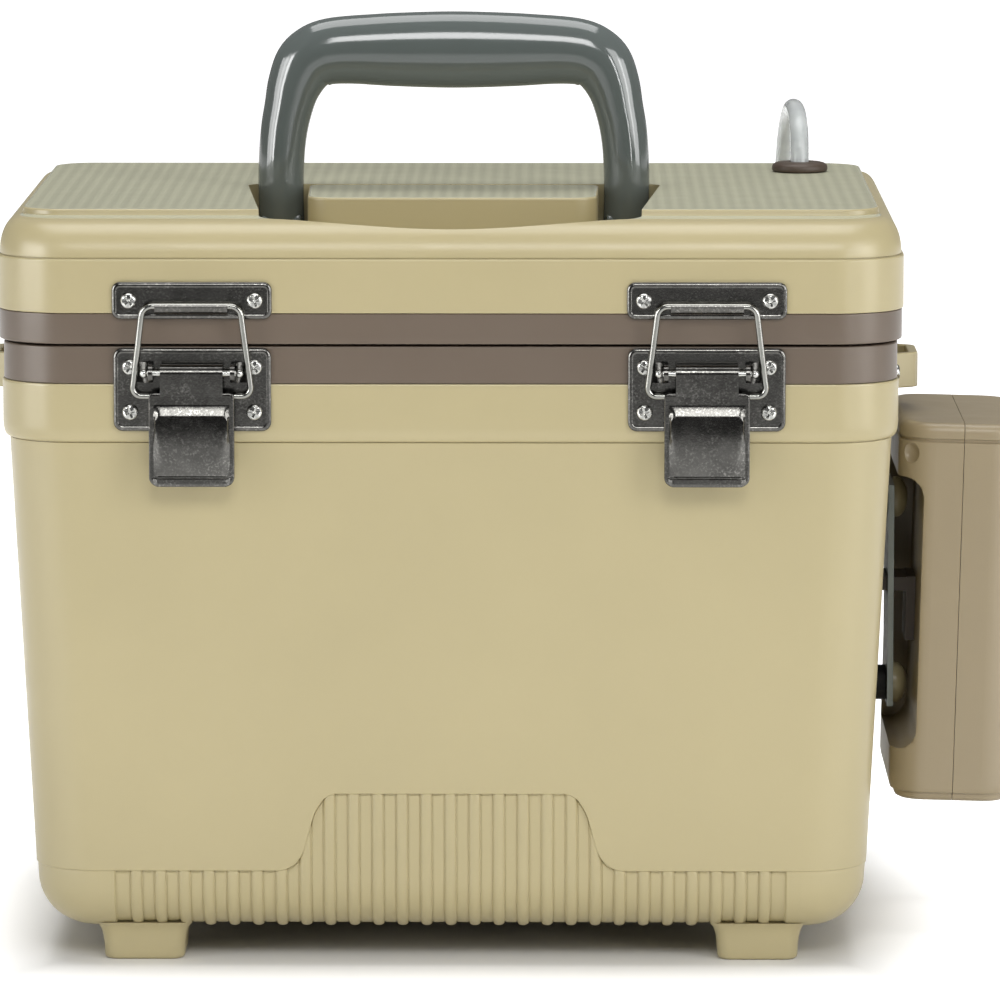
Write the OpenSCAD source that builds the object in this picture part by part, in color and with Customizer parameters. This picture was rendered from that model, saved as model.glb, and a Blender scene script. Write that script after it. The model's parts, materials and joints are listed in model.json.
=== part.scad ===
// Insulated live-bait box with a hinged lid, two draw latches, a swinging handle
// and an aerator pump hung on its right side. Millimetres, +Z up, front towards -Y.
// The origin is the centre of the tub's footprint on the floor.

/* [Box] */
// Width of the lid, left to right
lid_w = 300; // [250:1:360]
// Depth of the lid, front to back
lid_d = 218; // [182:1:262]
// Height of the line where lid and tub meet, above the floor
parting_z = 209.5; // [174.5:0.5:251.5]
// Height of the lid above that line
lid_h = 43.3; // [40:0.1:52]
// Open gap between the two rims
parting_gap = 0.8; // [0.6:0.1:1]
// Plan radius of the lid's corners
corner_r = 24; // [20:0.5:29]
// Wall thickness of the moulded shells
wall = 2.2; // [1.8:0.1:2.7]

/* [Tub] */
// Distance of the drafted wall behind the lid's edge
wall_inset = 3.6; // [3:0.1:4.4]
// Draft of the outer wall, in degrees
tub_draft = 2.84; // [2.3:0.01:3.4]
// Radius of the edge round the bottom
bottom_r = 18; // [15:0.5:20]
// Height of the rim band under the parting line
rim_h = 12.4; // [10.5:0.1:15]
// Distance of that band behind the lid's edge
rim_inset = 2; // [1.7:0.1:2.4]
// Height of the thick flange under the rim band
flange_h = 19.2; // [19:0.1:23]
// Distance of the flange behind the lid's edge
flange_inset = 1.5; // [1.2:0.1:1.8]
// Height of the four feet
foot_h = 10.8; // [9:0.1:13]
// Width and depth of a foot where it leaves the body
foot_w = 29.5; // [25:0.5:35]
// Distance of a foot's middle from the box's middle, across
foot_x = 102.7; // [86:0.1:106]
// Distance of a foot's outer face behind the lid's edge, front and back
foot_inset = 22; // [21:0.5:26]

/* [Inside] */
// Thickness of the insulated wall at the rim, from the lid's edge to the inside
inside_inset = 24; // [20.5:0.5:28]
// Draft of the inside wall, in degrees
inside_draft = 2.5; // [2:0.1:3]
// Height of the inside floor
floor_z = 26; // [24:0.5:31]
// Radius round the inside floor, and between the inside walls
inside_r = 18; // [15:0.5:21]
// Depth of the lid's plug below the rim
plug_h = 8; // [6.5:0.1:9.6]

/* [Ribbed field] */
// Number of upright ribs
rib_count = 27; // [23:2:27]
// Distance between ribs
rib_pitch = 8.05; // [6.8:0.05:8.2]
// Width of one rib
rib_w = 3.7; // [3:0.1:4.4]
// Depth of the field between the ribs
rib_depth = 1.3; // [1.1:0.1:1.5]
// Height of the field's upper edge in the middle
field_high_z = 58.6; // [50:0.1:70]
// Height of the field's upper edge at both ends
field_low_z = 32.4; // [30:0.1:38]

/* [Handle] */
// Distance between the outer faces of the two legs
handle_w = 133; // [120:1:135]
// Width of a leg
handle_leg_w = 15.6; // [13:0.1:16.5]
// Height of the grip's middle line above the pivots
handle_reach = 61.7; // [60:0.1:74]
// Thickness of the grip, front to back
handle_t = 17; // [14.2:0.1:17.4]
// Extra height of the grip in the middle of its length
handle_swell = 3.2; // [2.6:0.1:3.8]
// Distance of the pivots in front of the box's middle
handle_axis_y = -5; // [-6:0.1:-4]
// Height of the pivots above the floor of the pocket
handle_axis_up = 9; // [8.8:0.1:10.8]
// Radius of the pivot pins
handle_pin_r = 3; // [2.5:0.1:3.6]

/* [Latches] */
// Distance of a latch from the box's middle
latch_x = 84.5; // [80:0.5:95]
// Width of the base plate
base_w = 51.8; // [43:0.1:62.5]
// Height of the base plate
base_h = 27.5; // [26:0.1:30]
// Thickness of the latch's sheet steel
sheet = 1.2; // [1:0.1:1.4]
// Length of the lever below its pin
lever_l = 37; // [31:0.5:44]
// Width of the lever
lever_w = 28; // [26:0.1:29]
// Radius of the bail's wire
wire_r = 1.05; // [0.9:0.05:1.2]

/* [Aerator] */
// Thickness of the pump, away from the tub
pump_t = 43.4; // [36:0.1:52.5]
// Width of the pump, front to back
pump_w = 90; // [76:0.5:108]
// Height of the pump
pump_h = 129.5; // [128:0.5:150]
// Lean of the pump's foot towards the tub, in degrees
pump_lean = 1.5; // [1.2:0.1:1.8]
// Height of the pump's lowest edge above the floor
pump_z = 46.5; // [40:0.5:50]
// Radius of the air hose
hose_r = 3.2; // [2.7:0.1:3.4]

/* [Hidden] */

// Smoothness of the lofted shells and of everything round
corner_steps = 6;
arc_steps = 5;
$fn = 48;

// Clearances
seat = 0.1;        // between parts that are screwed or pressed face to face
slack = 0.3;       // round loose fillings
pin_gap = 0.05;    // round a pin, on its radius
eps = 0.5;         // overshoot of a cut past the face that it opens

// Heights of the box
rim_top = parting_z - parting_gap / 2;
rim_low = rim_top - rim_h;
flange_top = rim_low - seat;
flange_low = flange_top - flange_h;
lid_low = parting_z + parting_gap / 2;
lid_band_h = 10.1;
lid_side_low = lid_low + lid_band_h + seat;
top_z = parting_z + lid_h;
shoulder_r = 11.8;
shoulder_top = top_z - 2.6;
crease_z = shoulder_top - shoulder_r;
crease_inset = 0.8;
panel_step = 18.6;  // from the lid's edge to the raised panel on top
panel_wall = 2.5;

// Half widths, measured across; half depths are less by half_diff
half_diff = (lid_w - lid_d) / 2;
lid_half = lid_w / 2;
front_y = -lid_d / 2;
wall_half = lid_half - wall_inset;
flange_half = lid_half - flange_inset;
rim_half = lid_half - rim_inset;
lid_rim_half = lid_half - 0.5;
inside_half = lid_half - inside_inset;
wall_r = corner_r - 2;

// Colours
tan_plastic = [0.79, 0.74, 0.58];
brown_plastic = [0.44, 0.38, 0.34];
slate = [0.33, 0.36, 0.36];
steel = [0.55, 0.55, 0.54];
dark_steel = [0.36, 0.36, 0.36];
foam = [0.93, 0.90, 0.78];
pump_plastic = [0.58, 0.52, 0.42];
black_rubber = [0.08, 0.08, 0.08];
clear_hose = [0.80, 0.85, 0.86, 0.6];

// ---- Outlines, levels and sweeps -------------------------------------------------

function unit(v) = v / norm(v);

// Rounded rectangle at one height, counter-clockwise
function ring(half_x, half_y, r, z) =
    [for (corner = [0:3], i = [0:corner_steps])
        let (a = 90 * (corner + i / corner_steps),
             side_x = corner == 0 || corner == 3 ? 1 : -1,
             side_y = corner < 2 ? 1 : -1)
        [side_x * (half_x - r) + r * cos(a), side_y * (half_y - r) + r * sin(a), z]];

// The same for the box, whose half depth follows its half width
function level(half, r, z) = ring(half, half - half_diff, r, z);

// Drafted walls above a floor with a rounded edge
function basin(half, z_top, z_low, r_low, r_plan, draft, above = 0) =
    let (foot = half - (z_top - z_low - r_low) * tan(draft))
    concat(
        [for (k = [0:arc_steps])
            let (a = 90 * k / arc_steps, inwards = r_low * (1 - sin(a)))
            level(foot - inwards, r_plan - inwards, z_low + r_low * (1 - cos(a)))],
        [level(half, r_plan, z_top)],
        above > 0 ? [level(half, r_plan, z_top + above)] : []);

// Outline in the plane with its corners rounded; corners run counter-clockwise, and a
// radius of 0 keeps the corner as it is
function rounded(corners, radii) =
    let (n = len(corners))
    [for (i = [0:n - 1]) if (radii[i] == 0) corners[i] else
        let (p = corners[i], r = radii[i],
             a = unit(corners[(i + n - 1) % n] - p),
             b = unit(corners[(i + 1) % n] - p),
             half = acos(a * b) / 2,
             middle = p + unit(a + b) * r / sin(half),
             first = p + a * r / tan(half) - middle,
             start = atan2(first.y, first.x))
        for (k = [0:corner_steps])
            let (t = start + k * (180 - 2 * half) / corner_steps)
            middle + r * [cos(t), sin(t)]];

function box_corners(half_x, low, high) =
    [[half_x, high], [-half_x, high], [-half_x, low], [half_x, low]];

// Solid through rings that all have the same number of points
module loft(levels) {
    n = len(levels[0]);
    last = (len(levels) - 1) * n;
    polyhedron(
        points = [for (l = levels) each l],
        faces = concat(
            [[for (i = [0:n - 1]) i]],
            [[for (i = [n - 1:-1:0]) last + i]],
            [for (j = [0:len(levels) - 2], i = [0:n - 1])
                let (a = j * n + i, b = j * n + (i + 1) % n)
                each [[a, a + n, b + n], [a, b + n, b]]]));
}

// Directions of a path, and across it, carried along without twist
function tangents(path) =
    [for (i = [0:len(path) - 1])
        unit(path[min(i + 1, len(path) - 1)] - path[max(i - 1, 0)])];
function carried(v, tangent) = unit(v - (v * tangent) * tangent);
function across(ts, start, i = 0, done = []) =
    i == len(ts) ? done
    : across(ts, start, i + 1, concat(done, [carried(i == 0 ? start : done[i - 1], ts[i])]));

// Tube along a path; half_a and half_b are its half sizes across and along start
module sweep(path, half_a, half_b, start, sides) {
    ts = tangents(path);
    bs = across(ts, start);
    loft([for (i = [0:len(path) - 1])
        [for (k = [0:sides - 1])
            let (t = 360 * (k + 0.5) / sides, side = cross(bs[i], ts[i]))
            path[i] + half_a[i] * cos(t) * side + half_b[i] * sin(t) * bs[i]]]);
}

// Smooth curve through a cord's own points
function smooth(p, steps) =
    concat(
        [for (i = [0:len(p) - 2], k = [0:steps - 1])
            let (t = k / steps,
                 a = p[max(i - 1, 0)], b = p[i], c = p[i + 1], d = p[min(i + 2, len(p) - 1)])
            0.5 * (2 * b + (c - a) * t + (2 * a - 5 * b + 4 * c - d) * t * t
                   + (3 * b - a - 3 * c + d) * t * t * t)],
        [p[len(p) - 1]]);

// Upright plate with its outline in X and Z, from y towards -Y
module front_plate(outline, y, t) {
    translate([0, y, 0]) rotate([90, 0, 0]) linear_extrude(t) polygon(outline);
}

// Round bar along X
module bar_x(x0, x1, y, z, r) {
    translate([x0, y, z]) rotate([0, 90, 0]) cylinder(h = x1 - x0, r = r);
}

// Round bar along Y
module bar_y(y0, y1, x, z, r) {
    translate([x, y0, z]) rotate([-90, 0, 0]) cylinder(h = y1 - y0, r = r);
}

// Screw with a pan head: its head sits on y = 0 and stands towards -Y
screw_r = 1.6;
screw_head_r = 2.65;
screw_head_h = 1.5;
module screw(shank) {
    rotate([90, 0, 0]) {
        translate([0, 0, -shank]) cylinder(h = shank, r = screw_r);
        cylinder(h = 0.6, r = screw_head_r);
        translate([0, 0, 0.6]) cylinder(h = screw_head_h - 0.6, r1 = screw_head_r, r2 = 1.7);
    }
}

// ---- Tub ---------------------------------------------------------------------------

// Half sizes of the tub's outside, drawn in by an inset
function tub_outside(inset, above = 0) =
    basin(wall_half - inset, flange_low, foot_h + inset, bottom_r - inset, wall_r - inset,
          tub_draft, above);
// The inside space, grown by an outset
function tub_inside(outset, above = 0) =
    basin(inside_half + outset, rim_top, floor_z - outset, inside_r - 4 + outset,
          inside_r + outset, inside_draft, above);

flange_levels = [
    level(wall_half + 0.8, wall_r + 0.8, flange_low),
    level(flange_half - 0.4, corner_r - flange_inset - 0.4, flange_low + 1.7),
    level(flange_half, corner_r - flange_inset, flange_low + 4.8),
    level(flange_half, corner_r - flange_inset, flange_top)
];

rib_field_half = (rib_count - 1) / 2 * rib_pitch + 7;
field_rise = 4.4;  // how far the S-curve leans, foot to head
field_mid_x = 47.6;
field_steps = 8;
ledge = 0.4;       // the wall steps in by this much below the field's edge, all round

function field_edge(t) = field_low_z + (field_high_z - field_low_z) * (1 - cos(180 * t)) / 2;

// Outline of the ribbed field: low at both ends, high in the middle
function field_outline() =
    concat(
        [for (k = [0:field_steps])
            let (t = k / field_steps)
            [field_mid_x - (t - 0.5) * 4 * field_rise, field_edge(t)]],
        [for (k = [field_steps:-1:0])
            let (t = k / field_steps)
            [-field_mid_x + (t - 0.5) * 4 * field_rise, field_edge(t)]],
        [[-rib_field_half, field_low_z], [-rib_field_half, 0], [rib_field_half, 0],
         [rib_field_half, field_low_z]]);

// Block in front of the tub with the field's outline, less the ribs
field_behind = 35;  // how far it goes under the tub
module field_block(ribs) {
    translate([0, front_y + wall_inset + field_behind, 0]) rotate([90, 0, 0])
        linear_extrude(field_behind + 15) difference() {
            polygon(field_outline());
            if (ribs)
                for (i = [0:rib_count - 1])
                    translate([(i - (rib_count - 1) / 2) * rib_pitch - rib_w / 2, -1])
                        square([rib_w, field_high_z + 2]);
        }
}

module rib_field() {
    difference() {
        union() {
            translate([-lid_w, -lid_d, 0]) cube([2 * lid_w, 2 * lid_d, field_low_z]);
            field_block(false);
        }
        loft(tub_outside(ledge));
    }
    difference() {
        field_block(true);
        loft(tub_outside(rib_depth));
    }
}

hinge_x = 82;
hinge_w = 40;
hinge_y = lid_d / 2 + 3;

// Screw places
latch_screw_dx = 20.4;
latch_screw_dz = 7.45;
latch_z = rim_top - 14.2;
keeper_z = parting_z + 14.9;
keeper_screw_dx = 20.7;
hinge_screw_dx = 12;
hinge_screw_dz = 19;
lug_z = flange_top - 5.8;
lug_rivet_dy = 19.4;

module foot() {
    low = foot_w / 2 - 1.2;
    flared = foot_w / 2 - 0.9;
    foot_r = 4;
    linear_extrude(1) polygon([for (p = ring(low, low, foot_r, 0)) [p.x, p.y]]);
    loft([ring(low, low, foot_r, 1), ring(flared, flared, foot_r, foot_h * 0.6),
          ring(foot_w / 2, foot_w / 2, foot_r, foot_h + 1)]);
}

bracket_top_z = 145.5;
bracket_low_z = 81;
bracket_screw_r = 2;
bracket_x = lid_half - 1.4;
bracket_t = 2;
bracket_half = 16;

module tub_shell() {
    color(tan_plastic) difference() {
        union() {
            difference() {
                loft(concat(tub_outside(0), flange_levels));
                loft(tub_outside(wall, above = flange_h + eps));
                rib_field();
            }
            for (x = [-foot_x, foot_x], side = [-1, 1])
                translate([x, side * (lid_d / 2 - foot_inset - foot_w / 2), 0]) foot();
            for (x = [-hinge_x, hinge_x])
                translate([x - hinge_w / 2 - 2, flange_half - half_diff - 1, flange_low + 6])
                    cube([hinge_w + 4, 1 + flange_inset, flange_h - 6]);
        }
        for (side = [-1, 1], dx = [-latch_screw_dx, latch_screw_dx])
            bar_y(front_y, front_y + flange_inset + wall + 3, side * latch_x + dx,
                  latch_z - latch_screw_dz, screw_r + pin_gap);
        for (side = [-1, 1], dx = [-hinge_screw_dx, hinge_screw_dx])
            bar_y(lid_d / 2 - flange_inset - wall - 3, lid_d / 2 + eps, side * hinge_x + dx,
                  parting_z - hinge_screw_dz, screw_r + pin_gap);
        for (side = [-1, 1], dy = [-lug_rivet_dy, lug_rivet_dy])
            bar_x(min(side * (flange_half - 6), side * (flange_half + 2)),
                  max(side * (flange_half - 6), side * (flange_half + 2)),
                  dy, lug_z, screw_r + pin_gap);
        for (z = [bracket_top_z, bracket_low_z])
            bar_x(wall_half - 20, wall_half + 2, 0, z, bracket_screw_r + pin_gap);
    }
}

module tub_liner() {
    color(brown_plastic) difference() {
        union() {
            loft(tub_inside(wall));
            difference() {
                loft([level(rim_half, corner_r - rim_inset, rim_low),
                      level(rim_half, corner_r - rim_inset, rim_top)]);
                loft([level(rim_half - wall, corner_r - rim_inset - wall, rim_low - eps),
                      level(rim_half - wall, corner_r - rim_inset - wall, rim_top - wall)]);
            }
        }
        loft(tub_inside(0, above = eps));
        for (side = [-1, 1], dx = [-latch_screw_dx, latch_screw_dx])
            bar_y(front_y, front_y + rim_inset + wall + 1, side * latch_x + dx,
                  latch_z + latch_screw_dz, screw_r + pin_gap);
    }
}

module tub_insulation() {
    gap = wall + slack;
    color(foam) difference() {
        loft(concat(tub_outside(gap),
            [level(wall_half - gap, wall_r - gap, rim_top - gap)]));
        loft(tub_inside(gap, above = eps));
        for (side = [-1, 1], dy = [-lug_rivet_dy, lug_rivet_dy])
            bar_x(min(side * (wall_half - 8), side * (wall_half + 8)),
                  max(side * (wall_half - 8), side * (wall_half + 8)), dy, lug_z, screw_r + slack);
        for (z = [bracket_top_z, bracket_low_z])
            bar_x(wall_half - 20, wall_half + 2, 0, z, 6);
    }
}

// Strap lugs: a base on the flange and a loop for 25 mm webbing
lug_h = 12;
lug_base_t = 2;
lug_out = 9.9;
lug_half_y = 22.5;
lug_slot_half_y = 14;
lug_bar_t = 3.4;
lug_slot_out = lug_out - lug_base_t - lug_bar_t;
module strap_lug(side) {
    color(tan_plastic) translate([side * (flange_half + seat), 0, lug_z])
        mirror([side < 0 ? 1 : 0, 0, 0]) difference() {
            union() {
                translate([0, -lug_half_y, -lug_h / 2]) cube([lug_base_t, 2 * lug_half_y, lug_h]);
                translate([0, 0, -lug_h / 2]) linear_extrude(lug_h)
                    polygon([[0, -lug_slot_half_y - 3], [lug_out - 1.5, -lug_slot_half_y + 1.5],
                             [lug_out, -lug_slot_half_y + 4], [lug_out, lug_slot_half_y - 4],
                             [lug_out - 1.5, lug_slot_half_y - 1.5], [0, lug_slot_half_y + 3]]);
            }
            translate([lug_base_t, 0, -lug_h / 2 - eps]) linear_extrude(lug_h + 2 * eps)
                polygon([[0, -lug_slot_half_y], [lug_slot_out, -lug_slot_half_y + 3],
                         [lug_slot_out, lug_slot_half_y - 3], [0, lug_slot_half_y]]);
            for (dy = [-lug_rivet_dy, lug_rivet_dy])
                bar_x(-eps, lug_base_t + eps, dy, 0, screw_r + pin_gap);
        }
}

module lug_rivets() {
    color(steel) for (side = [-1, 1], dy = [-lug_rivet_dy, lug_rivet_dy])
        translate([side * (flange_half + seat + lug_base_t), dy, lug_z])
            rotate([0, 0, side * 90]) screw(lug_base_t + 3.5);
}

// ---- Hinges ------------------------------------------------------------------------

knuckle_r = 3;
hinge_pin_r = 1.5;
hinge_mid = 16;     // length of the tub leaf's knuckle
leaf_h = 26.5;
leaf_edge = 3.4;    // from the axis to the full width of a leaf

module hinge_leaf(x, up, screw_z) {
    leaf_y = lid_d / 2 + seat;
    color(dark_steel) difference() {
        union() {
            translate([x - hinge_w / 2, leaf_y, up > 0 ? parting_z + leaf_edge : parting_z - leaf_h])
                cube([hinge_w, sheet, leaf_h - leaf_edge]);
            for (span = up > 0 ? [[-hinge_w / 2, -hinge_mid / 2 - 0.3], [hinge_mid / 2 + 0.3, hinge_w / 2]]
                               : [[-hinge_mid / 2, hinge_mid / 2]]) {
                bar_x(x + span[0], x + span[1], hinge_y, parting_z, knuckle_r);
                translate([x + span[0], leaf_y, up > 0 ? parting_z : parting_z - leaf_edge])
                    cube([span[1] - span[0], sheet, leaf_edge]);
            }
        }
        bar_x(x - hinge_w, x + hinge_w, hinge_y, parting_z, hinge_pin_r + pin_gap);
        for (dx = [-hinge_screw_dx, hinge_screw_dx])
            bar_y(leaf_y - eps, leaf_y + sheet + eps, x + dx, screw_z, screw_r + pin_gap);
    }
}

module hinge_pin(x) {
    color(steel) bar_x(x - hinge_w / 2 - 0.6, x + hinge_w / 2 + 0.6, hinge_y, parting_z, hinge_pin_r);
}

module hinge_screws(z) {
    color(steel) for (side = [-1, 1], dx = [-hinge_screw_dx, hinge_screw_dx])
        translate([side * hinge_x + dx, lid_d / 2 + seat + sheet, z])
            rotate([0, 0, 180]) screw(sheet + seat + 2);
}

// ---- Lid ---------------------------------------------------------------------------

pocket_rear_y = handle_axis_y + 8.8;
pocket_front_y = front_y + 5;
pocket_rear_half = handle_w / 2 + 4.2;
pocket_front_half = handle_w / 2 - 3.7;
pocket_bow = 7.8;         // the front edge is bowed forwards by this much in the middle
pocket_floor_z = top_z - 23.8;
pocket_floor_t = 2.4;
handle_axis_z = pocket_floor_z + handle_axis_up;
block_half = handle_w / 2 - handle_leg_w - 1.3;
block_taper = 1;          // the block is this much narrower in front, on each side
block_rear_y = handle_axis_y + 7;
block_front_y = handle_axis_y - handle_reach + 18.8;
grommet_x = 120;
grommet_y = 55;
grommet_neck_r = 6;

pocket_bow_steps = 5;
module pocket(grow, z0, z1) {
    rear_half = pocket_rear_half + grow;
    front_half = pocket_front_half + grow;
    rear_y = pocket_rear_y + grow;
    bowed = [for (k = [-pocket_bow_steps:pocket_bow_steps])
        let (t = k / (pocket_bow_steps + 2))
        [t * front_half, pocket_front_y - grow + pocket_bow * t * t]];
    translate([0, 0, z0]) linear_extrude(z1 - z0) polygon(rounded(
        concat([[rear_half, rear_y], [-rear_half, rear_y],
                [-front_half, pocket_front_y - grow + pocket_bow]],
               bowed, [[front_half, pocket_front_y - grow + pocket_bow]]),
        concat([5 + grow, 5 + grow, 8 + grow], [for (p = bowed) 0], [8 + grow])));
}

module block(shrink, z0, z1) {
    rear_half = block_half - shrink;
    front_half = rear_half - block_taper;
    translate([0, 0, z0]) linear_extrude(z1 - z0) polygon(rounded(
        [[rear_half, block_rear_y - shrink], [-rear_half, block_rear_y - shrink],
         [-front_half, block_front_y + shrink], [front_half, block_front_y + shrink]],
        [4 - shrink / 2, 4 - shrink / 2, 8 - shrink, 8 - shrink]));
}

// Shoulder of the lid, drawn in by an inset
function shoulder(inset) =
    [for (k = [0:arc_steps])
        let (a = 90 * k / arc_steps)
        level(lid_half - crease_inset - inset - shoulder_r * (1 - cos(a)),
              corner_r - crease_inset - inset - shoulder_r * (1 - cos(a)) / 2,
              crease_z + (shoulder_r - inset) * sin(a))];
function panel_level(inset, z) = level(lid_half - panel_step - inset, corner_r - 12, z);

bead = 4.9;  // from the shoulder's head to the panel's step
lid_outside = concat(
    [level(lid_half, corner_r, lid_side_low), level(lid_half, corner_r, crease_z)],
    shoulder(0),
    [panel_level(-bead, shoulder_top + 1.4), panel_level(-bead + 1.1, shoulder_top + 2),
     panel_level(-bead + 2.4, shoulder_top + 1.5), panel_level(-bead + 3, shoulder_top + 0.7),
     panel_level(0, shoulder_top + 0.7), panel_level(0.5, top_z - 0.5), panel_level(1.1, top_z)]);

function lid_cavity(inset, low) = concat(
    [level(lid_half - wall - 0.5 - inset, corner_r - wall - inset, low)],
    shoulder(wall + inset),
    [panel_level(wall + inset, shoulder_top - wall - inset),
     panel_level(wall + inset, top_z - panel_wall - inset)]);

module lid_shell() {
    color(tan_plastic) difference() {
        loft(lid_outside);
        difference() {
            loft(lid_cavity(0, lid_side_low - eps));
            pocket(wall, pocket_floor_z - pocket_floor_t, top_z);
        }
        difference() {
            pocket(0, pocket_floor_z, top_z + eps);
            block(0, pocket_floor_z - eps, top_z + 2 * eps);
        }
        block(wall, lid_side_low - eps, top_z - panel_wall);
        for (side = [-1, 1])
            bar_x(min(side * (block_half - 5), side * (block_half + eps)),
                  max(side * (block_half - 5), side * (block_half + eps)),
                  handle_axis_y, handle_axis_z, handle_pin_r + pin_gap);
        translate([grommet_x, grommet_y, top_z - 6]) cylinder(h = 8, r = grommet_neck_r + pin_gap);
        for (side = [-1, 1], dx = [-keeper_screw_dx, keeper_screw_dx])
            bar_y(front_y - eps, front_y + wall + 1, side * latch_x + dx, keeper_z, screw_r + pin_gap);
        for (side = [-1, 1], dx = [-hinge_screw_dx, hinge_screw_dx])
            bar_y(lid_d / 2 - wall - 1, lid_d / 2 + eps, side * hinge_x + dx,
                  parting_z + hinge_screw_dz, screw_r + pin_gap);
    }
}

// Levels that follow the inside edge of the tub, for the plug and the seal
function seal_level(half, z) = level(half, inside_r + half - inside_half, z);
liner_plate_t = 3.5;
groove_in = 3.3;
groove_out = 8.7;
groove_d = 2;

module lid_liner() {
    plug_half = inside_half - 1;
    color(brown_plastic) difference() {
        union() {
            loft([seal_level(plug_half - plug_h * tan(inside_draft), lid_low - plug_h),
                  seal_level(plug_half, lid_low)]);
            loft([level(lid_rim_half, corner_r - 0.5, lid_low),
                  level(lid_rim_half, corner_r - 0.5, lid_low + lid_band_h)]);
        }
        loft([level(lid_rim_half - wall, corner_r - wall, lid_low + liner_plate_t),
              level(lid_rim_half - wall, corner_r - wall, lid_low + lid_band_h + eps)]);
        loft([seal_level(plug_half - 3, lid_low - plug_h + wall),
              seal_level(plug_half - 2.6, lid_low + liner_plate_t + eps)]);
        difference() {
            loft([seal_level(inside_half + groove_out, lid_low - eps),
                  seal_level(inside_half + groove_out, lid_low + groove_d)]);
            loft([seal_level(inside_half + groove_in, lid_low - 2 * eps),
                  seal_level(inside_half + groove_in, lid_low + groove_d + eps)]);
        }
        translate([grommet_x, grommet_y, lid_low - plug_h - eps])
            cylinder(h = plug_h + liner_plate_t + 1, r = hose_r + slack);
    }
}

module lid_gasket() {
    low = rim_top + 0.15;
    high = lid_low + groove_d - seat;
    color(black_rubber) difference() {
        loft([seal_level(inside_half + groove_out - 0.2, low),
              seal_level(inside_half + groove_out - 0.2, high)]);
        loft([seal_level(inside_half + groove_in + 0.2, low - eps),
              seal_level(inside_half + groove_in + 0.2, high + eps)]);
    }
}

module lid_insulation() {
    low = lid_low + liner_plate_t + slack;
    plug_half = inside_half - 1;
    color(foam) difference() {
        union() {
            loft(lid_cavity(slack, low));
            loft([seal_level(plug_half - 3 - slack, lid_low - plug_h + wall + slack),
                  seal_level(plug_half - 3 - slack, low + 1)]);
        }
        difference() {
            pocket(wall + slack, pocket_floor_z - pocket_floor_t - slack, top_z);
            block(wall + slack, lid_side_low, top_z - 1);
        }
        bar_x(-block_half, block_half, handle_axis_y, handle_axis_z, handle_pin_r + 1);
        translate([grommet_x, grommet_y, lid_low - plug_h]) cylinder(h = lid_h + plug_h, r = hose_r + 0.8);
        translate([grommet_x, grommet_y, top_z - 7]) cylinder(h = 9, r = grommet_neck_r + 2.6);
    }
}

module hose_grommet() {
    color(brown_plastic) translate([grommet_x, grommet_y, 0]) difference() {
        union() {
            translate([0, 0, top_z + seat]) cylinder(h = 2.2, r = 9.7);
            translate([0, 0, top_z + seat + 2.2]) cylinder(h = 1.3, r1 = 9.7, r2 = 8.4);
            translate([0, 0, top_z - 6]) cylinder(h = 6 + 2 * seat, r = grommet_neck_r);
            translate([0, 0, top_z - 6]) cylinder(h = 6 - panel_wall - seat, r = grommet_neck_r + 2);
        }
        translate([0, 0, top_z - 7]) cylinder(h = 12, r = hose_r + slack);
    }
}

// ---- Handle ------------------------------------------------------------------------

hub_r = 7.8;
leg_x = handle_w / 2 - handle_leg_w / 2;
grip_half_h = 9.85;
pin_out_x = handle_w / 2 + 1.5;

// Middle line from a pivot to the middle of the grip: share of leg_x, share of the reach
// and share of the grip's extra width
handle_shape = [
    [1, 0, 0], [1.005, 0.195, 0], [1.002, 0.389, 0.01], [0.986, 0.551, 0.05],
    [0.959, 0.681, 0.11], [0.927, 0.797, 0.27], [0.872, 0.904, 0.50], [0.806, 0.959, 0.61],
    [0.715, 0.990, 0.67], [0.554, 1, 0.76], [0.324, 1, 0.91], [0, 1, 1]
];
handle_stations = concat(
    [for (s = handle_shape) [-s[0], s[1], s[2]]],
    [for (i = [len(handle_shape) - 2:-1:0]) handle_shape[i]]);

module handle() {
    path = [for (s = handle_stations)
        [s[0] * leg_x, handle_axis_y, handle_axis_z + s[1] * handle_reach]];
    low_half_t = hub_r - 0.3;  // the legs' half thickness at the hubs
    color(slate) difference() {
        union() {
            sweep(path,
                  [for (s = handle_stations)
                      handle_leg_w / 2 + s[2] * (grip_half_h + handle_swell - handle_leg_w / 2)],
                  [for (s = handle_stations)
                      low_half_t + min(1, s[1] / 0.4) * (handle_t / 2 - low_half_t)],
                  [0, 1, 0], 20);
            for (side = [-1, 1])
                bar_x(side * leg_x - handle_leg_w / 2, side * leg_x + handle_leg_w / 2,
                      handle_axis_y, handle_axis_z, hub_r);
        }
        for (side = [-1, 1])
            bar_x(side * leg_x - handle_leg_w, side * leg_x + handle_leg_w,
                  handle_axis_y, handle_axis_z, handle_pin_r + pin_gap);
    }
}

module handle_pins() {
    color(steel) for (side = [-1, 1])
        mirror([side < 0 ? 1 : 0, 0, 0]) {
            bar_x(block_half - 4, pin_out_x - 1.2, handle_axis_y, handle_axis_z, handle_pin_r);
            bar_x(handle_w / 2 + 0.3, pin_out_x, handle_axis_y, handle_axis_z, handle_pin_r + 1.6);
        }
}

// ---- Latches -----------------------------------------------------------------------

base_front = front_y + flange_inset - seat - sheet;  // front face of the base plate
lever_pin_r = 1.5;
lever_pin_y = base_front - 4;
lever_pin_z = rim_top - 8.4;
barrel_w = 20.5;
barrel_r = 3.2;
ear_t = 1.8;
ear_gap = 0.3;
skin_y = lever_pin_y - barrel_r + 0.2;  // front of the lever's skin
foot_y = lever_pin_y + 1.1;          // bail's feet
foot_z = lever_pin_z - 7.6;
keeper_front = front_y - seat - sheet;
bail_top_y = keeper_front - 3.4;
bail_top_z = keeper_z - 1.5;
bail_foot_half = 19.65;
bail_top_half = 16;

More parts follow.
